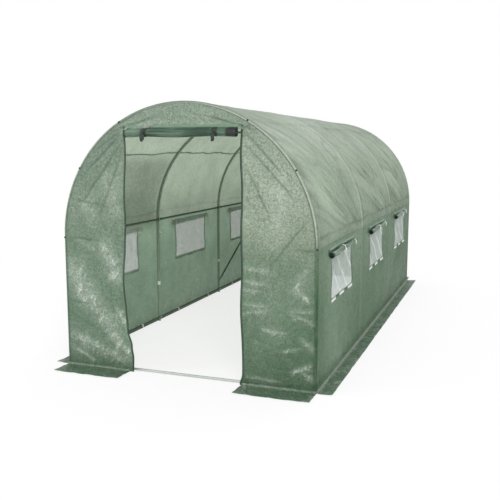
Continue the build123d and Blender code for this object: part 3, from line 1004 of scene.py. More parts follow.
@dataclass(frozen=True)
class EndWalls:
    """The film of both ends: two front panels beside the doorway, the gable over it and the rear wall."""

    tunnel: Tunnel
    door_half: float = 0.45
    door_head: float = 1.83
    gable_lap: float = 0.028
    cell: float = 0.007
    rear_cell: float = 0.012
    front_seed: float = 0.0
    rear_seed: float = 3.0
    left_edge: tuple[tuple[float, float], ...] = (
        (0.0, 0.03), (0.11, 0.042), (0.2, 0.03), (0.32, -0.008), (0.45, -0.024), (0.62, -0.03), (0.95, -0.02),
        (1.2, -0.004), (1.5, -0.008), (1.7, 0.004), (1.83, 0.0))
    right_edge: tuple[tuple[float, float], ...] = (
        (0.0, 0.014), (0.08, -0.006), (0.3, 0.002), (0.7, 0.006), (1.2, 0.002), (1.6, 0.006), (1.83, 0.0))
    strokes: tuple[Stroke, ...] = STROKES

    @property
    def front(self) -> float:
        """Place of the front wall's outer face along the tunnel."""
        return -self.tunnel.length / 2

    @property
    def reach(self) -> float:
        """Radius at which an end wall meets the rounded film over the end hoop."""
        return self.tunnel.radius - self.tunnel.rim

    def half(self, z: float) -> float:
        """Half the width of an end wall at a height."""
        above = max(0.0, z - self.tunnel.eave)
        return math.sqrt(max(0.0, self.reach ** 2 - above ** 2))

    def heights(self, low: float, high: float, cell: float) -> list[float]:
        """Gives rows of heights that stay evenly spaced along the arch.

        Args:
            low: The lowest row.
            high: The highest row.
            cell: Distance between rows.

        Returns:
            The heights, rising.
        """
        eave = self.tunnel.eave
        rows = []
        if low < eave:
            count = round((eave - low) / cell)
            rows = [low + (eave - low) * k / count for k in range(count)]
        start = math.asin(max(0.0, low - eave) / self.reach)
        stop = math.asin(min(1.0, (high - eave) / self.reach))
        count = round((stop - start) * self.reach / cell)
        turns = [start + (stop - start) * k / count for k in range(count + 1)]
        return rows + [eave + self.reach * math.sin(turn) for turn in turns]

    def edge(self, side: Side, z: float) -> float:
        """The doorway's edge on one side at a height, which wanders as loose film does."""
        drift = along_curve(self.left_edge if side is Side.LEFT else self.right_edge, z)
        return side.value * (self.door_half - drift)

    def hold(self, x: float, z: float) -> float:
        """How freely an end wall may leave its plane: not at all at the hoop and the ground."""
        rim = self.reach - math.hypot(x, max(0.0, z - self.tunnel.eave))
        return soft_step(rim, 0.0, 0.09) * soft_step(z, 0.0, 0.07)

    def form(self, x: float, z: float, seed: float) -> tuple[float, float, float]:
        """Gives the soft form of an end wall at a place.

        Args:
            x: Place across the tunnel.
            z: Height.
            seed: Makes front and rear differ.

        Returns:
            The offset outwards in metres, how crumpled the film is, and how deep it lies in valleys that get
            painted shade.
        """
        rise, crumple, valley = 0.0, 0.0, 0.0
        mirror = 1.0 if seed == self.front_seed else -1.0
        for stroke in self.strokes:
            height, rough = stroke.at(mirror * x, z)
            rise += height
            if stroke.height < 0:
                valley = max(valley, height / stroke.height)
            else:
                crumple += 0.75 * rough * min(1.0, stroke.height / 0.008)
        crumple += 0.35 * max(0.0, waver(x * 2.3 + seed, 4.0, z * 2.3))
        broad = 0.006 * waver(x * 2.6, 7.0 + seed, z * 1.6)
        ripple = 0.003 * waver(x * 9.0, 1.0 + seed, z * 7.0)
        sharp = 0.0035 * (0.5 - abs(waver(x * 14.0 + seed, 2.0, z * 11.0)))
        rise += broad + ripple + sharp * (0.35 + min(1.0, crumple))
        if seed == self.front_seed and z < self.door_head:
            free = hump(abs(x) - self.door_half, 0.09) * soft_step(self.door_head - z, 0.0, 0.25)
            rise += 0.012 * free * math.sin(11.0 * z + (2.0 if x > 0 else 0.0))
        return self.hold(x, z) * rise, min(1.0, crumple), valley

    def point(self, x: float, z: float, lift: float = 0.0) -> Vector:
        """A point of the front wall that may stand off the film by lift."""
        return Vector((x, self.front - self.form(x, z, self.front_seed)[0] - lift, z))

    def levels(self, seed: float) -> dict[str, Level]:
        """The numbers that an end wall's points carry for its finish."""
        def seam(at: Vector) -> float:
            """The seam along the end hoop."""
            return 1 - soft_step(self.half(at.z) - abs(at.x), 0.006, 0.018)

        def fold(at: Vector) -> float:
            """Painted shade in the valleys of the creases."""
            return -0.5 * self.form(at.x, at.z, seed)[2]

        return {"crumple": lambda at: self.form(at.x, at.z, seed)[1], "seam": seam, "fold": fold}

    def panel(self, side: Side, film: bpy.types.Material) -> bpy.types.Object:
        """Makes the front panel on one side of the doorway.

        Args:
            side: The tunnel's side.
            film: The film's material.

        Returns:
            The panel.
        """
        rows = self.heights(0.0, self.door_head, self.cell)
        across = round((self.reach - self.door_half) / self.cell)
        piece = Piece(f"front_panel_{side.word}", FILM_LEVELS)

        def place(u: float, v: float) -> Vector:
            """A point of the panel, from the doorway to the hoop."""
            z = row_at(rows, v)
            inner = self.edge(side, z)
            return self.point(inner + (side.value * self.half(z) - inner) * u, z)

        flat = (self.reach - self.door_half, self.door_head)
        levels = self.levels(self.front_seed)
        piece.patch((across, len(rows) - 1), place, flat, lambda at: FRONTWARDS, levels=levels)
        made = piece.finish(film, "wall_film", nodes=[f"front_wall_{side.word}"])
        area = sum((self.half(z) - self.door_half) for z in rows) / len(rows) * flat[1]
        return made

    def gable(self, film: bpy.types.Material) -> bpy.types.Object:
        """Makes the gable over the doorway, sewn over the tops of the front panels."""
        low = self.door_head - self.gable_lap
        rows = self.heights(low, self.tunnel.eave + self.reach, self.cell)
        across = round(2 * self.half(low) / self.cell)
        piece = Piece("front_gable_cover", FILM_LEVELS)

        def place(u: float, v: float) -> Vector:
            """A point of the gable, which laps over the panels."""
            z = row_at(rows, v)
            lap = 0.0016 * (1 - soft_step(z, self.door_head, self.door_head + 0.03))
            return self.point((2 * u - 1) * self.half(z), z, lap)

        flat = (2 * self.half(low), rows[-1] - low)
        levels = self.levels(self.front_seed)
        piece.patch((across, len(rows) - 1), place, flat, lambda at: FRONTWARDS, levels=levels)
        bmesh.ops.remove_doubles(piece.bm, verts=piece.bm.verts, dist=1e-5)
        made = piece.finish(film, "wall_film", nodes=["front_gable"])
        area = 0.7 * flat[0] * flat[1]
        return made

    def rear(self, film: bpy.types.Material) -> bpy.types.Object:
        """Makes the rear wall, one whole sheet."""
        rows = self.heights(0.0, self.tunnel.eave + self.reach, self.rear_cell)
        across = round(2 * self.reach / self.rear_cell)
        piece = Piece("rear_wall_cover", FILM_LEVELS)

        def place(u: float, v: float) -> Vector:
            """A point of the rear wall."""
            z = row_at(rows, v)
            x = (2 * u - 1) * self.half(z)
            return Vector((x, -self.front + self.form(x, z, self.rear_seed)[0], z))

        flat = (2 * self.reach, rows[-1])
        levels = self.levels(self.rear_seed)
        piece.patch((across, len(rows) - 1), place, flat, lambda at: REARWARDS, levels=levels)
        bmesh.ops.remove_doubles(piece.bm, verts=piece.bm.verts, dist=1e-5)
        made = piece.finish(film, "wall_film", nodes=["rear_wall"])
        return made


@dataclass(frozen=True)
class GroundFlaps:
    """The film flaps that lie on the ground round the tunnel, to be weighed down with soil."""

    tunnel: Tunnel
    fold: float = 0.018
    cell: float = 0.016
    thickness: float = 0.0014
    lowest: float = 0.0032

    def flap(
        self, name: str, node: str, start: Vector, run: Vector, out: Vector, film: bpy.types.Material,
    ) -> bpy.types.Object:
        """Makes one flap.

        Args:
            name: The piece's name.
            node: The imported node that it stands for.
            start: The foot of the wall at one end of the flap.
            run: The way along the wall to the flap's other end.
            out: The way out from the wall to the flap's outer edge.
            film: The film's material.

        Returns:
            The flap.
        """
        width, length = out.length, run.length
        ahead, away = run.normalized(), out.normalized()
        across, along = round(width / self.cell) + 5, max(8, round(length / self.cell))
        piece = Piece(name, FILM_LEVELS)

        def place(u: float, v: float) -> Vector:
            """A point of the flap, which turns out from the wall and lies in waves."""
            travel = u * (width + 0.4 * self.fold)
            if travel < 1.4 * self.fold:
                turn = travel / (1.4 * self.fold) * math.pi / 2
                off, rise = self.fold * (1 - math.cos(turn)), self.fold * (1 - math.sin(turn))
            else:
                off, rise = travel - 0.4 * self.fold, 0.0
            share = off / width
            spot = start + ahead * (v * length) + away * off
            wave = noise.noise(spot * 7.0) + 0.6 * noise.noise(spot * 17.0)
            corner = hump(min(v, 1 - v) * length, 0.07)
            lift = (0.003 + 0.005 * share) * max(0.0, wave) + 0.005 * corner * share * (1 + wave)
            ripple = 0.0015 * (1 + noise.noise(spot * 30.0))
            spot += away * (0.0025 * noise.noise(spot * 5.0 + Vector((9, 0, 0))) * share)
            return spot + Vector((0, 0, self.lowest + rise + lift * soft_step(off, 0.0, 0.06) + ripple))

        levels = {
            "crumple": lambda at: min(1.0, 0.35 + 0.6 * max(0.0, noise.noise(at * 5.0))),
            # Painted highlight along the fold where the flap turns out from the wall.
            "edge": lambda at: 0.22 * hump(at.z - 0.014, 0.004),
        }
        piece.patch((across, along), place, (width, length), lambda at: UPWARDS, levels=levels)
        made = piece.finish(film, "skirt_film", self.thickness, [node])
        return made

    def make(self, film: bpy.types.Material) -> None:
        """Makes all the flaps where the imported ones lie."""
        for word in ("front_left", "front_right"):
            low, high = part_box(f"{word}_skirt")
            start = Vector((low.x, high.y, 0.0))
            self.flap(f"{word}_flap", f"{word}_skirt", start, Vector((high.x - low.x, 0, 0)),
                      Vector((0, low.y - high.y, 0)), film)
        low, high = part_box("rear_skirt")
        self.flap("rear_flap", "rear_skirt", Vector((low.x, low.y, 0)), Vector((high.x - low.x, 0, 0)),
                  Vector((0, high.y - low.y, 0)), film)
        for side in Side:
            low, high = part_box(f"{side.word}_skirt")
            start = Vector((side.value * self.tunnel.radius, low.y, 0.0))
            self.flap(f"{side.word}_flap", f"{side.word}_skirt", start, Vector((0, high.y - low.y, 0)),
                      Vector((side.value * (high.x - low.x), 0, 0)), film)


@dataclass(frozen=True)
class FilmRoll:
    """A film rolled up outwards against the wall that it hangs from."""

    radius: float
    core: float
    turns: float
    lap: float
    length: float
    pinches: tuple[float, ...]
    thinning: float = 0.0
    hang: float = 0.12
    pinch_width: float = 0.02
    film: float = 0.0012
    turn_cells: int = 22
    cell: float = 0.011

    def offset(self, travel: float, x: float, seed: float) -> tuple[float, float, bool]:
        """Gives a point of the roll's section.

        Args:
            travel: Share of the way along the film, from its seam to its rolled-in end.
            x: Place along the roll.
            seed: Makes rolls differ.

        Returns:
            Distance out from the wall, height over the roll's middle, and whether it is on the wound part.
        """
        if travel < self.hang:
            return 0.0, self.lap * (1 - travel / self.hang), False
        share = (travel - self.hang) / (1 - self.hang)
        turn = share * 2 * math.pi * self.turns
        pinch = sum(hump(x - p, self.pinch_width) for p in self.pinches)
        lump = 0.06 * waver(x * 6.0 + seed, math.cos(turn) * 0.8, math.sin(turn) * 0.8)
        lump += 0.025 * waver(x * 17.0, seed + math.cos(turn) * 1.6, math.sin(turn) * 1.6)
        thick = self.thick(x)
        spread = thick * (self.radius + (self.core - self.radius) * share)
        spread *= 1 + lump - 0.13 * min(1.0, pinch)
        return thick * self.radius - spread * math.cos(turn), -spread * math.sin(turn), True

    def thick(self, x: float) -> float:
        """Share of the full thickness that the roll has at a place along it."""
        return 1 - self.thinning * soft_step(x, -0.1 * self.length, 0.5 * self.length)

    def sag(self, x: float) -> float:
        """How far the roll hangs down between its ties at a place along it."""
        return -0.007 * (1 - max(hump(x - p, 0.15) for p in self.pinches))

    def cells(self) -> tuple[int, int]:
        """Numbers of cells across the film and along the roll."""
        return round(self.turns * self.turn_cells) + 7, round(self.length / self.cell)

    def width(self) -> float:
        """Width of the film that is hung and rolled up."""
        return self.lap + math.pi * self.turns * (self.radius + self.core)


class Strap:
    """Flat webbing ties, built into one piece."""

    def __init__(self, name: str, width: float) -> None:
        """Starts the piece for ties of that width."""
        self.piece = Piece(name)
        self.width = width

    def loop(self, centre: Vector, axis: Vector, up: Vector, radius: float, tail: float, seed: float) -> None:
        """Adds one tie: a loop round a roll or tube, a knot and two hanging tails.

        Args:
            centre: Middle of the loop.
            axis: Direction of the roll or tube.
            up: Direction out from the wall, in which the knot sits.
            radius: Inside radius of the loop.
            tail: Length of the hanging tails.
            seed: Makes ties differ.
        """
        ahead = axis.normalized()
        out = up.normalized()
        over = ahead.cross(out)
        if over.z < 0 and abs(over.z) > 0.1:
            over = -over

        def ring(u: float, v: float) -> Vector:
            """A point of the loop."""
            turn = 2 * math.pi * v
            spread = radius * (1.02 + 0.03 * math.sin(3 * turn + seed))
            slant = 0.15 * self.width * math.sin(turn + seed)
            return (centre + ahead * ((u - 0.5) * self.width + slant)
                    + out * (spread * math.cos(turn)) + over * (spread * math.sin(turn)))

        around = 2 * math.pi * radius
        self.piece.patch((3, 28), ring, (self.width, around), lambda at: at - centre)
        knot = centre + out * (radius * 1.12) - over * (radius * 0.25)

        def bow(u: float, v: float) -> Vector:
            """A point of the knot."""
            turn = 2 * math.pi * v
            size = 0.3 * self.width * math.sin(math.pi * (0.12 + 0.76 * u))
            return knot + ahead * ((u - 0.5) * 0.7 * self.width) + out * (size * math.cos(turn)) + over * (
                1.3 * size * math.sin(turn))

        self.piece.patch((4, 10), bow, (self.width, self.width), lambda at: at - knot)
        for lean in (-1, 1):
            drop = tail * (1.0 if lean < 0 else 0.78)

            def hang(u: float, v: float, lean: int = lean, drop: float = drop) -> Vector:
                """A point of a tail."""
                sway = lean * drop * (0.16 * v + 0.08 * math.sin(4 * v + seed))
                bulge = 0.12 * drop * math.sin(math.pi * v) + 0.002 * lean
                return (knot + ahead * ((u - 0.5) * 0.62 * self.width + sway) + out * bulge
                        - Vector((0, 0, drop * v)))

            self.piece.patch((2, 8), hang, (self.width, drop), lambda at: out)


@dataclass(frozen=True)
class Doorway:
    """The rolled-up door, its ties and the zip tapes beside the opening."""

    ends: EndWalls
    roll: FilmRoll
    roll_height: float = 1.782
    roll_gap: float = 0.004
    tie_width: float = 0.036
    tie_tail: float = 0.056
    tape_width: float = 0.015
    tape_thickness: float = 0.0016

    def make_roll(self, film: bpy.types.Material) -> bpy.types.Object:
        """Makes the rolled door film, sewn to the gable and wound up in front of it."""
        roll = self.roll
        piece = Piece("door_film_roll", ("pale", "end"))

        def place(u: float, v: float) -> Vector:
            """A point of the hung and wound film."""
            x = (v - 0.5) * roll.length
            out, rise, wound = roll.offset(u, x, 0.0)
            sag = roll.sag(x) if wound else 0.0
            return Vector((x, self.ends.front - self.roll_gap - out, self.roll_height + rise + sag))

        def pale(at: Vector) -> float:
            """Paler film at both ends and where it hangs."""
            left = 1 - soft_step(at.x, -0.36, -0.2)
            hung = 2.0 * soft_step(at.z, self.roll_height + 0.032, self.roll_height + 0.036)
            return 0.75 * left + 0.4 * soft_step(at.x, 0.2, 0.33) + hung

        def end(at: Vector) -> float:
            """Dark ends of the wound part."""
            wound = 1 - soft_step(at.z, self.roll_height + 0.03, self.roll_height + 0.034)
            return wound * max(soft_step(at.x, 0.35, 0.36), 1 - soft_step(at.x, -0.42, -0.412))

        flat = (roll.width(), roll.length)
        piece.patch(roll.cells(), place, flat, self.away, levels={"pale": pale, "end": end})
        made = piece.finish(film, "roll_film", roll.film, ["door_roll"])
        return made

    def away(self, at: Vector) -> Vector:
        """Direction from the roll's middle line to a place on it."""
        return Vector((0, at.y - self.ends.front + self.roll_gap + self.roll.radius, at.z - self.roll_height))

    def make_ties(self, webbing: bpy.types.Material) -> bpy.types.Object:
        """Makes the two dark ties that hold the roll up."""
        strap = Strap("door_webbing_ties", self.tie_width)
        middle = self.ends.front - self.roll_gap - self.roll.radius
        for k, x in enumerate(self.roll.pinches):
            centre = Vector((x, middle, self.roll_height))
            strap.loop(centre, RIGHTWARDS, FRONTWARDS, self.roll.radius * 0.97, self.tie_tail, 1.7 * k)
        return strap.piece.finish(webbing, "dark_tape", 0.0014, ["door_ties"])

    def make_tapes(self, tape: bpy.types.Material) -> bpy.types.Object:
        """Makes the zip tapes along both edges of the doorway."""
        piece = Piece("door_zip_tapes")
        rows = self.ends.heights(0.004, self.ends.door_head - 0.002, 0.0095)
        for side in Side:
            def place(u: float, v: float, side: Side = side) -> Vector:
                """A point of one tape, which follows the edge of the doorway."""
                z = row_at(rows, v)
                x = self.ends.edge(side, z) + side.value * (u * self.tape_width - 0.001)
                return self.ends.point(x, z, self.tape_thickness)

            flat = (self.tape_width, rows[-1])
            piece.patch((4, len(rows) - 1), place, flat, lambda at: FRONTWARDS)
        return piece.finish(tape, "dark_tape", self.tape_thickness, ["door_zips"])


@dataclass(frozen=True)
class Windows:
    """The side windows: nets in the openings, rolled-up flaps, their ties and the hook strips below."""

    cover: Cover
    roll: FilmRoll
    roll_gap: float = 0.002
    net_lap: float = 0.022
    net_cell: float = 0.0105
    tie_width: float = 0.018
    tie_tail: float = 0.03
    strip: tuple[float, float] = (0.15, 0.02)
    strip_drop: float = 0.016
    strip_rows: tuple[float, ...] = (-0.285, 0.0, 0.285)
    strip_thickness: float = 0.0014

    def out(self, side: Side) -> Vector:
        """Direction out of a side wall."""
        return Vector((side.value, 0, 0))

    def make_nets(self, side: Side, net: bpy.types.Material) -> bpy.types.Object:
        """Makes one side's three nets, sewn inside the film round the openings."""
        tunnel = self.cover.tunnel
        width = tunnel.window_length + 2 * self.net_lap
        low, high = tunnel.window_sill - self.net_lap, tunnel.window_head + self.net_lap
        piece = Piece(f"{side.word}_nets", ("crumple", "edge"))
        creased = 0.9 if side is Side.RIGHT else 0.25

        def crumple(at: Vector) -> float:
            """Slanting creases."""
            slant = math.sin(23.0 * at.y + 31.0 * at.z + 1.2 * noise.noise(at * 5.0))
            return creased * soft_step(slant, 0.8, 1.0)

        for row in tunnel.window_rows:
            def place(u: float, v: float, row: float = row) -> Vector:
                """A point of one net, which is slack inside its edge."""
                y, z = row + (v - 0.5) * width, low + (high - low) * u
                inner = soft_step(min(u, 1 - u, v, 1 - v), 0.05, 0.2)
                slack = 0.006 * waver(y * 6.0, z * 7.0, side.value) * inner
                return self.cover.wall_point(side, y, z, -tunnel.film - 0.0008 + slack - 0.002 * inner)

            def bound(at: Vector, row: float = row) -> float:
                """Binding round the net, which the head of a left one lacks."""
                drawn = self.cover.window_sway(side, at.y, at.z)
                below = high - at.z if side is Side.RIGHT else width
                inside = min(width / 2 - abs(at.y - drawn - row), at.z - low, below)
                return 1 - soft_step(inside, 0.014, 0.026)

            cells = (round((high - low) / self.net_cell), round(width / self.net_cell))
            levels = {"crumple": crumple, "edge": bound}
            piece.patch(cells, place, (high - low, width), lambda at: self.out(side), levels=levels)
        made = piece.finish(net, "net", nodes=[f"{side.word}_window_nets"])
        return made

    def middle(self, side: Side, y: float) -> Vector:
        """Middle of a rolled flap at a place along the tunnel."""
        return self.cover.wall_point(side, y, self.cover.tunnel.window_head, self.roll_gap + self.roll.radius)

    def make_rolls(self, side: Side, film: bpy.types.Material) -> bpy.types.Object:
        """Makes one side's three rolled-up flaps, sewn to the wall over the windows."""
        tunnel, roll = self.cover.tunnel, self.roll
        piece = Piece(f"{side.word}_flap_film_rolls", ("pale", "end"))
        for k, row in enumerate(tunnel.window_rows):
            def place(u: float, v: float, row: float = row, k: int = k) -> Vector:
                """A point of one hung and wound flap, with drawn-out ends."""
                along = (v - 0.5) * roll.length + 0.024 * max(0.0, u - roll.hang) * (2 * v - 1) ** 5
                out, rise, wound = roll.offset(u, along, 3.0 * k + side.value)
                height = tunnel.window_head + rise
                if not wound:
                    return self.cover.wall_point(side, row + along, height, self.roll_gap)
                at = self.middle(side, row + along)
                return at + Vector((side.value * (out - roll.radius), 0, rise + roll.sag(along)))

            def away(at: Vector) -> Vector:
                """Direction from the roll's middle line."""
                return at - self.middle(side, at.y)

            def pale(at: Vector) -> float:
                """Paler patches, and paler film where it hangs."""
                hung = 2.0 * soft_step(at.z, tunnel.window_head + 0.021, tunnel.window_head + 0.025)
                return max(0.0, 0.25 + 0.9 * noise.noise(at * 6.0)) + hung

            def end(at: Vector, row: float = row) -> float:
                """Darker ends of one roll."""
                return soft_step(abs(at.y - row), roll.length / 2 - 0.02, roll.length / 2 - 0.012)

            levels = {"pale": pale, "end": end}
            piece.patch(roll.cells(), place, (roll.width(), roll.length), away, levels=levels)
        made = piece.finish(film, "roll_film", roll.film, [f"{side.word}_flap_rolls"])
        flat = (roll.width(), roll.length * len(tunnel.window_rows))
        return made

    def make_ties(self, side: Side, webbing: bpy.types.Material) -> bpy.types.Object:
        """Makes one side's pale ties round the rolled flaps."""
        strap = Strap(f"{side.word}_flap_webbing_ties", self.tie_width)
        for row in self.cover.tunnel.window_rows:
            for k, offset in enumerate(self.roll.pinches):
                radius = self.roll.radius * self.roll.thick(offset)
                centre = self.middle(side, row + offset) + self.out(side) * (radius - self.roll.radius)
                strap.loop(centre, REARWARDS, self.out(side), radius * 0.97, self.tie_tail, row + k)
        return strap.piece.finish(webbing, "white_trim", 0.0012, [f"{side.word}_flap_ties"])

    def make_strips(self, side: Side, hooks: bpy.types.Material) -> bpy.types.Object:
        """Makes one side's white hook strips under the windows."""
        tunnel = self.cover.tunnel
        length, width = self.strip
        middle = tunnel.window_sill - self.strip_drop
        piece = Piece(f"{side.word}_fastener_strips")
        for row in tunnel.window_rows:
            for offset in self.strip_rows:
                def place(u: float, v: float, row: float = row, offset: float = offset) -> Vector:
                    """A point of one strip, on the wall's film."""
                    y = row + offset + (v - 0.5) * length
                    z = middle + (u - 0.5) * width
                    return self.cover.wall_point(side, y, z, self.strip_thickness + 0.0003)

                piece.patch((4, 14), place, (width, length), lambda at: self.out(side))
        return piece.finish(hooks, "white_trim", self.strip_thickness, [f"{side.word}_hook_strips"])


@dataclass(frozen=True)
class FrameTrim:
    """Small fittings on the tubes: bolts at the rail ends, caps outside, ties on the ground rails."""

    tunnel: Tunnel
    hoop_radius: float = 0.9852
    hoop_rows: tuple[float, ...] = (-2.2352, -0.75, 0.75, 2.2352)
    rail_turns: tuple[float, ...] = (0.0, 60.0)
    ground_rail: tuple[float, float] = (0.9712, 0.042)
    rail_radius: float = 0.0095
    rail_seat: float = 0.0152
    inner_seat: float = 0.0027
    head: tuple[float, float] = (0.0058, 0.0042)
    washer: tuple[float, float] = (0.0085, 0.0012)
    cap: tuple[float, float] = (0.0075, 0.006)
    tie_width: float = 0.018

    def stud(
        self, piece: Piece, at: Vector, way: Vector, size: tuple[float, float], corners: int, chamfer: float,
    ) -> None:
        """Adds one short stud with a rounded outer end.

        Args:
            piece: The piece that it belongs to.
            at: The middle of its foot.
            way: The direction in which it stands.
            size: Its radius and height.
            corners: Number of its sides.
            chamfer: Rounding of its outer edge.
        """
        turn = way.to_track_quat("Z", "Y").to_matrix().to_4x4()
        spot = Matrix.Translation(at + way.normalized() * (size[1] / 2)) @ turn
        made = bmesh.ops.create_cone(
            piece.bm, cap_ends=True, segments=corners, radius1=size[0], radius2=size[0], depth=size[1],
            matrix=spot)["verts"]
        top = [v for v in made if (v.co - at).dot(way) > size[1] * 0.5]
        rim = [e for e in {e for v in top for e in v.link_edges} if all(v in top for v in e.verts)]
        bmesh.ops.bevel(
            piece.bm, geom=rim, offset=chamfer, offset_type="OFFSET", segments=2, profile=0.5,
            affect="EDGES", material=-1)

    def inward(self, side: Side, turn: float) -> Vector:
        """Direction from a hoop towards the tunnel's middle line."""
        return Vector((-side.value * math.cos(turn), 0, -math.sin(turn)))

    def make_bolts(self, steel: bpy.types.Material) -> bpy.types.Object:
        """Makes a washer and a hex head at each rail end, inside the hoops."""
        piece = Piece("rail_bolts")
        rails = [(0.0, self.ground_rail[1])] + [(math.radians(a), None) for a in self.rail_turns]
        for side in Side:
            for row in self.hoop_rows:
                inner = abs(row) <= self.tunnel.inner_hoop
                depth = self.hoop_radius - self.rail_seat - (self.inner_seat if inner else 0.0)
                for turn, height in rails:
                    way = self.inward(side, turn)
                    at = Vector((0, row, self.tunnel.eave)) - way * depth
                    if height is not None:
                        at.z = height
                    self.stud(piece, at, way, self.washer, 20, 0.0004)
                    self.stud(piece, at + way * self.washer[1], way, self.head, 6, 0.0008)
        return piece.finish(steel, "rail_tube")

    def make_caps(self, plastic: bpy.types.Material) -> bpy.types.Object:
        """Makes the dark caps where bolts come through the film at the end hoops."""
        piece = Piece("bolt_caps")
        for side in Side:
            for row in (self.hoop_rows[0], self.hoop_rows[-1]):
                for angle in (0.0, 32.0, 60.0):
                    turn = math.radians(angle)
                    out = -self.inward(side, turn)
                    end = Vector((0, math.copysign(1.0, row), 0))
                    way = (out * 0.45 + end * 0.9).normalized()
                    at = Vector((0, row, self.tunnel.eave)) + out * self.hoop_radius
                    at += way * (self.tunnel.rim - 0.0005)
                    self.stud(piece, at, way, self.cap, 16, 0.0038)
        return piece.finish(plastic, "dark_tape")

    def make_rail_ties(self, webbing: bpy.types.Material) -> bpy.types.Object:
        """Makes the white ties on the ground rails, and the loose tags on the second legs."""
        strap = Strap("cover_ties", self.tie_width)
        step = self.tunnel.inner_hoop * 2
        for side in Side:
            for bay in (-1, 0, 1):
                for offset in (-0.25, 0.25):
                    across = self.ground_rail[0] - (self.inner_seat if bay == 0 else 0.0)
                    centre = Vector((side.value * across, (bay + offset) * step, self.ground_rail[1]))
                    inward = Vector((-side.value, 0, 0))
                    strap.loop(centre, REARWARDS, inward, self.rail_radius + 0.0016, 0.022, bay + offset)
        for side in Side:
            def tag(u: float, v: float, side: Side = side) -> Vector:
                """A point of one loose tag."""
                inner = self.hoop_radius - 0.004 - 0.012 * math.sin(math.pi * v)
                rise = 0.872 + (0.02 * (1 - 0.8 * v)) * (u - 0.3) - 0.012 * v
                return Vector((side.value * inner, self.hoop_rows[1] + 0.0128 + 0.05 * v, rise))

            strap.piece.patch((3, 8), tag, (0.02, 0.05), lambda at, side=side: Vector((-side.value, 0, 0)))
        return strap.piece.finish(webbing, "white_trim", 0.0011)


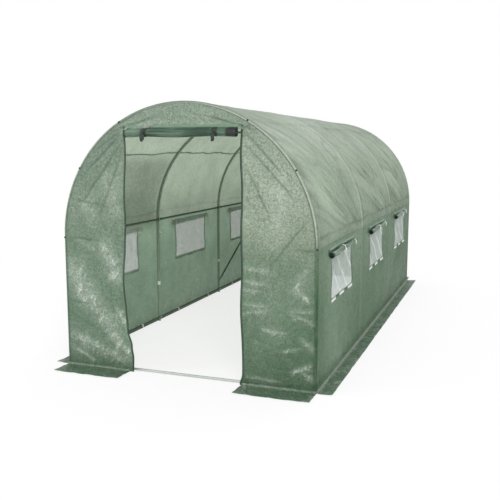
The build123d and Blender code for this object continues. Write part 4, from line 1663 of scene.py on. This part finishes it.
@dataclass(frozen=True)
class Studio:
    """Pale floor, soft light and the camera at the photograph's viewing angle."""

    camera_at: tuple[float, float, float] = (2.17, -6.736, 1.665)
    turn: tuple[float, float] = (-20.26, 8.19)
    focal: float = 700.0
    frame: float = 500.0
    sensor: float = 36.0
    key_watts: float = 1055.0
    world_strength: tuple[float, float] = (0.45, 1.0)

    def camera(self) -> None:
        """Sets the camera up."""
        yaw, pitch = (math.radians(a) for a in self.turn)
        ahead = Vector((math.sin(yaw) * math.cos(pitch), math.cos(yaw) * math.cos(pitch), -math.sin(pitch)))
        right = ahead.cross(UPWARDS).normalized()
        up = right.cross(ahead)
        data = bpy.data.cameras.new("camera")
        data.sensor_width = self.sensor
        data.lens = self.focal / self.frame * self.sensor
        made = bpy.data.objects.new("camera", data)
        axes = Matrix((right, up, -ahead)).transposed().to_4x4()
        made.matrix_world = Matrix.Translation(self.camera_at) @ axes
        bpy.context.scene.collection.objects.link(made)
        bpy.context.scene.camera = made

    def lamp(self, name: str, at: Vector, aim: Vector, size: float, watts: float) -> None:
        """Adds one square soft lamp.

        Args:
            name: The lamp's name.
            at: Where it hangs.
            aim: What it points at.
            size: Length of its sides.
            watts: Its power.
        """
        data = bpy.data.lights.new(name, "AREA")
        data.size, data.energy = size, watts
        made = bpy.data.objects.new(name, data)
        made.matrix_world = Matrix.Translation(at) @ (aim - at).to_track_quat("-Z", "Y").to_matrix().to_4x4()
        bpy.context.scene.collection.objects.link(made)

    def shown(self, tree: bpy.types.NodeTree) -> bpy.types.NodeSocket:
        """A socket that is 1 for what the camera sees, straight, in gloss or through glass."""
        path = tree.nodes.new("ShaderNodeLightPath")
        first = path.outputs["Is Camera Ray"]
        for word in ("Is Glossy Ray", "Is Transmission Ray"):
            node = tree.nodes.new("ShaderNodeMath")
            node.operation = "MAXIMUM"
            tree.links.new(first, node.inputs[0])
            tree.links.new(path.outputs[word], node.inputs[1])
            first = node.outputs[0]
        return first

    def surroundings(self) -> None:
        """Sets up the pale world and floor."""
        world = bpy.data.worlds.new("world")
        world.use_nodes = True
        bpy.context.scene.world = world
        tree = world.node_tree
        tree.nodes.clear()
        lit, seen = tree.nodes.new("ShaderNodeBackground"), tree.nodes.new("ShaderNodeBackground")
        lit.inputs[0].default_value = (1.0, 1.0, 1.0, 1.0)
        ways = tree.nodes.new("ShaderNodeSeparateXYZ")
        tree.links.new(tree.nodes.new("ShaderNodeTexCoord").outputs["Generated"], ways.inputs[0])
        sky = tree.nodes.new("ShaderNodeMapRange")
        tree.links.new(ways.outputs[2], sky.inputs["Value"])
        sky.inputs["To Min"].default_value, sky.inputs["To Max"].default_value = self.world_strength
        tree.links.new(sky.outputs[0], lit.inputs[1])
        seen.inputs[0].default_value = (1.0, 1.0, 1.0, 1.0)
        mix, out = tree.nodes.new("ShaderNodeMixShader"), tree.nodes.new("ShaderNodeOutputWorld")
        tree.links.new(self.shown(tree), mix.inputs[0])
        tree.links.new(lit.outputs[0], mix.inputs[1])
        tree.links.new(seen.outputs[0], mix.inputs[2])
        tree.links.new(mix.outputs[0], out.inputs[0])
        mesh = bpy.data.meshes.new("floor")
        bm = bmesh.new()
        bmesh.ops.create_grid(bm, x_segments=1, y_segments=1, size=60.0)
        bm.to_mesh(mesh)
        bm.free()
        floor = bpy.data.objects.new("floor", mesh)
        bpy.context.scene.collection.objects.link(floor)
        bench = Bench("floor")
        plain = bench.add("ShaderNodeBsdfDiffuse", {}, {"Color": (0.8, 0.8, 0.8, 1.0)})
        white = bench.add("ShaderNodeEmission", {}, {"Color": (1.0, 1.0, 1.0, 1.0), "Strength": 1.0})
        far = bench.vector("LENGTH", bench.spot(), (0.0, 0.0, 0.0), "Value").ramp(2.2, 5.5)
        share = Shade(bench, self.shown(bench.tree)) * (0.76 + far * 0.24)
        mixed = bench.add("ShaderNodeMixShader", {}, {0: share, 1: plain, 2: white})
        mesh.materials.append(bench.done(mixed))

    def make(self) -> None:
        """Makes the whole studio."""
        self.camera()
        self.surroundings()
        self.lamp("key", Vector((5.78, -11.9, 8.2)), Vector((0, -1.2, 0.9)), 5.1, self.key_watts)
        self.lamp("side", Vector((-6.2, -5.6, 2.9)), Vector((-0.6, -1.4, 0.8)), 2.2, 0.18 * self.key_watts)
        self.lamp("top", Vector((1.3, 4.2, 7.0)), Vector((0, 1.6, 0.8)), 5.0, 0.19 * self.key_watts)
        bpy.context.scene.view_settings.view_transform = "Standard"


def dress_nodes(nodes: dict[str, bpy.types.Object], finishes: dict[str, bpy.types.Material]) -> None:
    """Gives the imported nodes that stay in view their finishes.

    Args:
        nodes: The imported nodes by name.
        finishes: Finishes by the words that a node's name ends with.
    """
    for name, node in nodes.items():
        for ending, material in finishes.items():
            if name.endswith(ending):
                node.data.materials.clear()
                node.data.materials.append(material)
                break


def main() -> None:
    """Builds the studio and every sub-assembly in order."""
    logging.basicConfig(level=logging.INFO, format="%(name)s %(message)s")
    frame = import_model()
    Studio().make()

    tunnel = Tunnel()
    # Each film's stops paint shade low down and light higher up; darker stops near the ridge are painted
    # shade.
    roof_film = FilmFinish("roof_film", (
        (0.9, (90, 112, 90)), (1.08, (100, 120, 99)), (1.3, (126, 141, 122)), (1.7, (136, 148, 133)),
        (1.9, (113, 126, 111)), (2.0, (102, 116, 102))),
        (218, 234, 212), (0.27, 0.35), (0.98, 1.45), white=0.8).material()
    side_film = FilmFinish("side_film", (
        (0.0, (32, 70, 37)), (0.35, (37, 75, 42)), (0.6, (50, 84, 53)), (0.85, (82, 105, 81)),
        (1.0, (96, 117, 95))),
        (190, 218, 192), (0.24, 0.3), (0.3, 1.0), fleck=0.5, white=0.3, gloss=0.15).material()
    end_film = FilmFinish("end_film", (
        (0.0, (46, 76, 50)), (0.3, (65, 93, 68)), (0.6, (82, 106, 84)), (0.9, (100, 119, 100)),
        (1.1, (131, 143, 126)), (1.35, (147, 157, 142)), (1.6, (147, 157, 143)), (1.85, (130, 144, 130)),
        (2.0, (126, 141, 127))), (170, 190, 168)).material()
    # A darker copy of the end film for the left front panel: painted shade, for the panel that gets less
    # light than the right one.
    shaded_left_film = FilmFinish("shaded_left_end_film", (
        (0.0, (62, 89, 66)), (0.3, (82, 107, 86)), (0.6, (94, 117, 97)), (1.0, (100, 120, 102)),
        (1.35, (112, 128, 112)), (1.65, (108, 125, 110)), (1.9, (112, 128, 114))), (160, 182, 160)).material()
    skirt = FilmFinish("flap_film", (
        (0.0, (60, 90, 65)), (0.05, (66, 94, 70))),
        (90, 120, 94), (0.1, 0.1), fleck=0.5, white=0.4).material()
    rolled = RollFinish("rolled_film", (26, 56, 38), (106, 132, 112), (14, 26, 18)).material()
    flaps = RollFinish("rolled_flaps", (52, 84, 60), (136, 158, 140), (42, 68, 48)).material()
    net = NetFinish("insect_net", (180, 190, 184), (108, 130, 110)).material()
    white = TrimFinish("white_webbing", (226, 228, 222), (186, 190, 180), 0.003, 0.55).material()
    dark = TrimFinish("dark_webbing", (20, 34, 24), (40, 52, 42), 0.003, 0.5).material()
    clip = TrimFinish("white_plastic", (228, 230, 226), (196, 200, 192), 0.006, 0.35).material()
    tape = ZipFinish("zip_tape", (50, 76, 55), (22, 40, 28)).material()
    hoop = TubeFinish("hoop_tube", (132, 148, 130), (160, 170, 156), 0.25, 0.34).material()
    rail = TubeFinish("rail_tube", (70, 84, 68), (112, 122, 108), 0.25, 0.38).material()
    bare = TubeFinish("bare_tube", (190, 193, 190), (160, 164, 162), 0.7, 0.32).material()

    cover = Cover(tunnel)
    cover.roof(roof_film)
    for side in Side:
        cover.wall(side, side_film)

    ends = EndWalls(tunnel)
    ends.panel(Side.LEFT, shaded_left_film)
    ends.panel(Side.RIGHT, end_film)
    ends.gable(end_film)
    ends.rear(end_film)
    GroundFlaps(tunnel).make(skirt)

    doorway = Doorway(ends, FilmRoll(0.031, 0.012, 2.8, 0.052, 0.86, (-0.27, 0.27)))
    doorway.make_ties(dark)
    doorway.make_roll(rolled)
    doorway.make_tapes(tape)

    windows = Windows(cover, FilmRoll(0.024, 0.004, 2.6, 0.032, 0.88, (-0.06, 0.38), thinning=0.45))
    for side in Side:
        windows.make_nets(side, net)
        windows.make_rolls(side, flaps)
        windows.make_ties(side, white)
        windows.make_strips(side, white)

    trim = FrameTrim(tunnel)
    trim.make_bolts(bare)
    trim.make_caps(dark)
    trim.make_rail_ties(white)
    dress_nodes(frame["nodes"], {
        "front_ground_bar": bare, "rear_ground_bar": bare, "_rail": rail, "rear_braces": rail,
        "_tubes": hoop, "_legs": hoop, "leg_clips": clip,
    })

    bpy.context.view_layer.update()


if __name__ == "__main__":
    main()
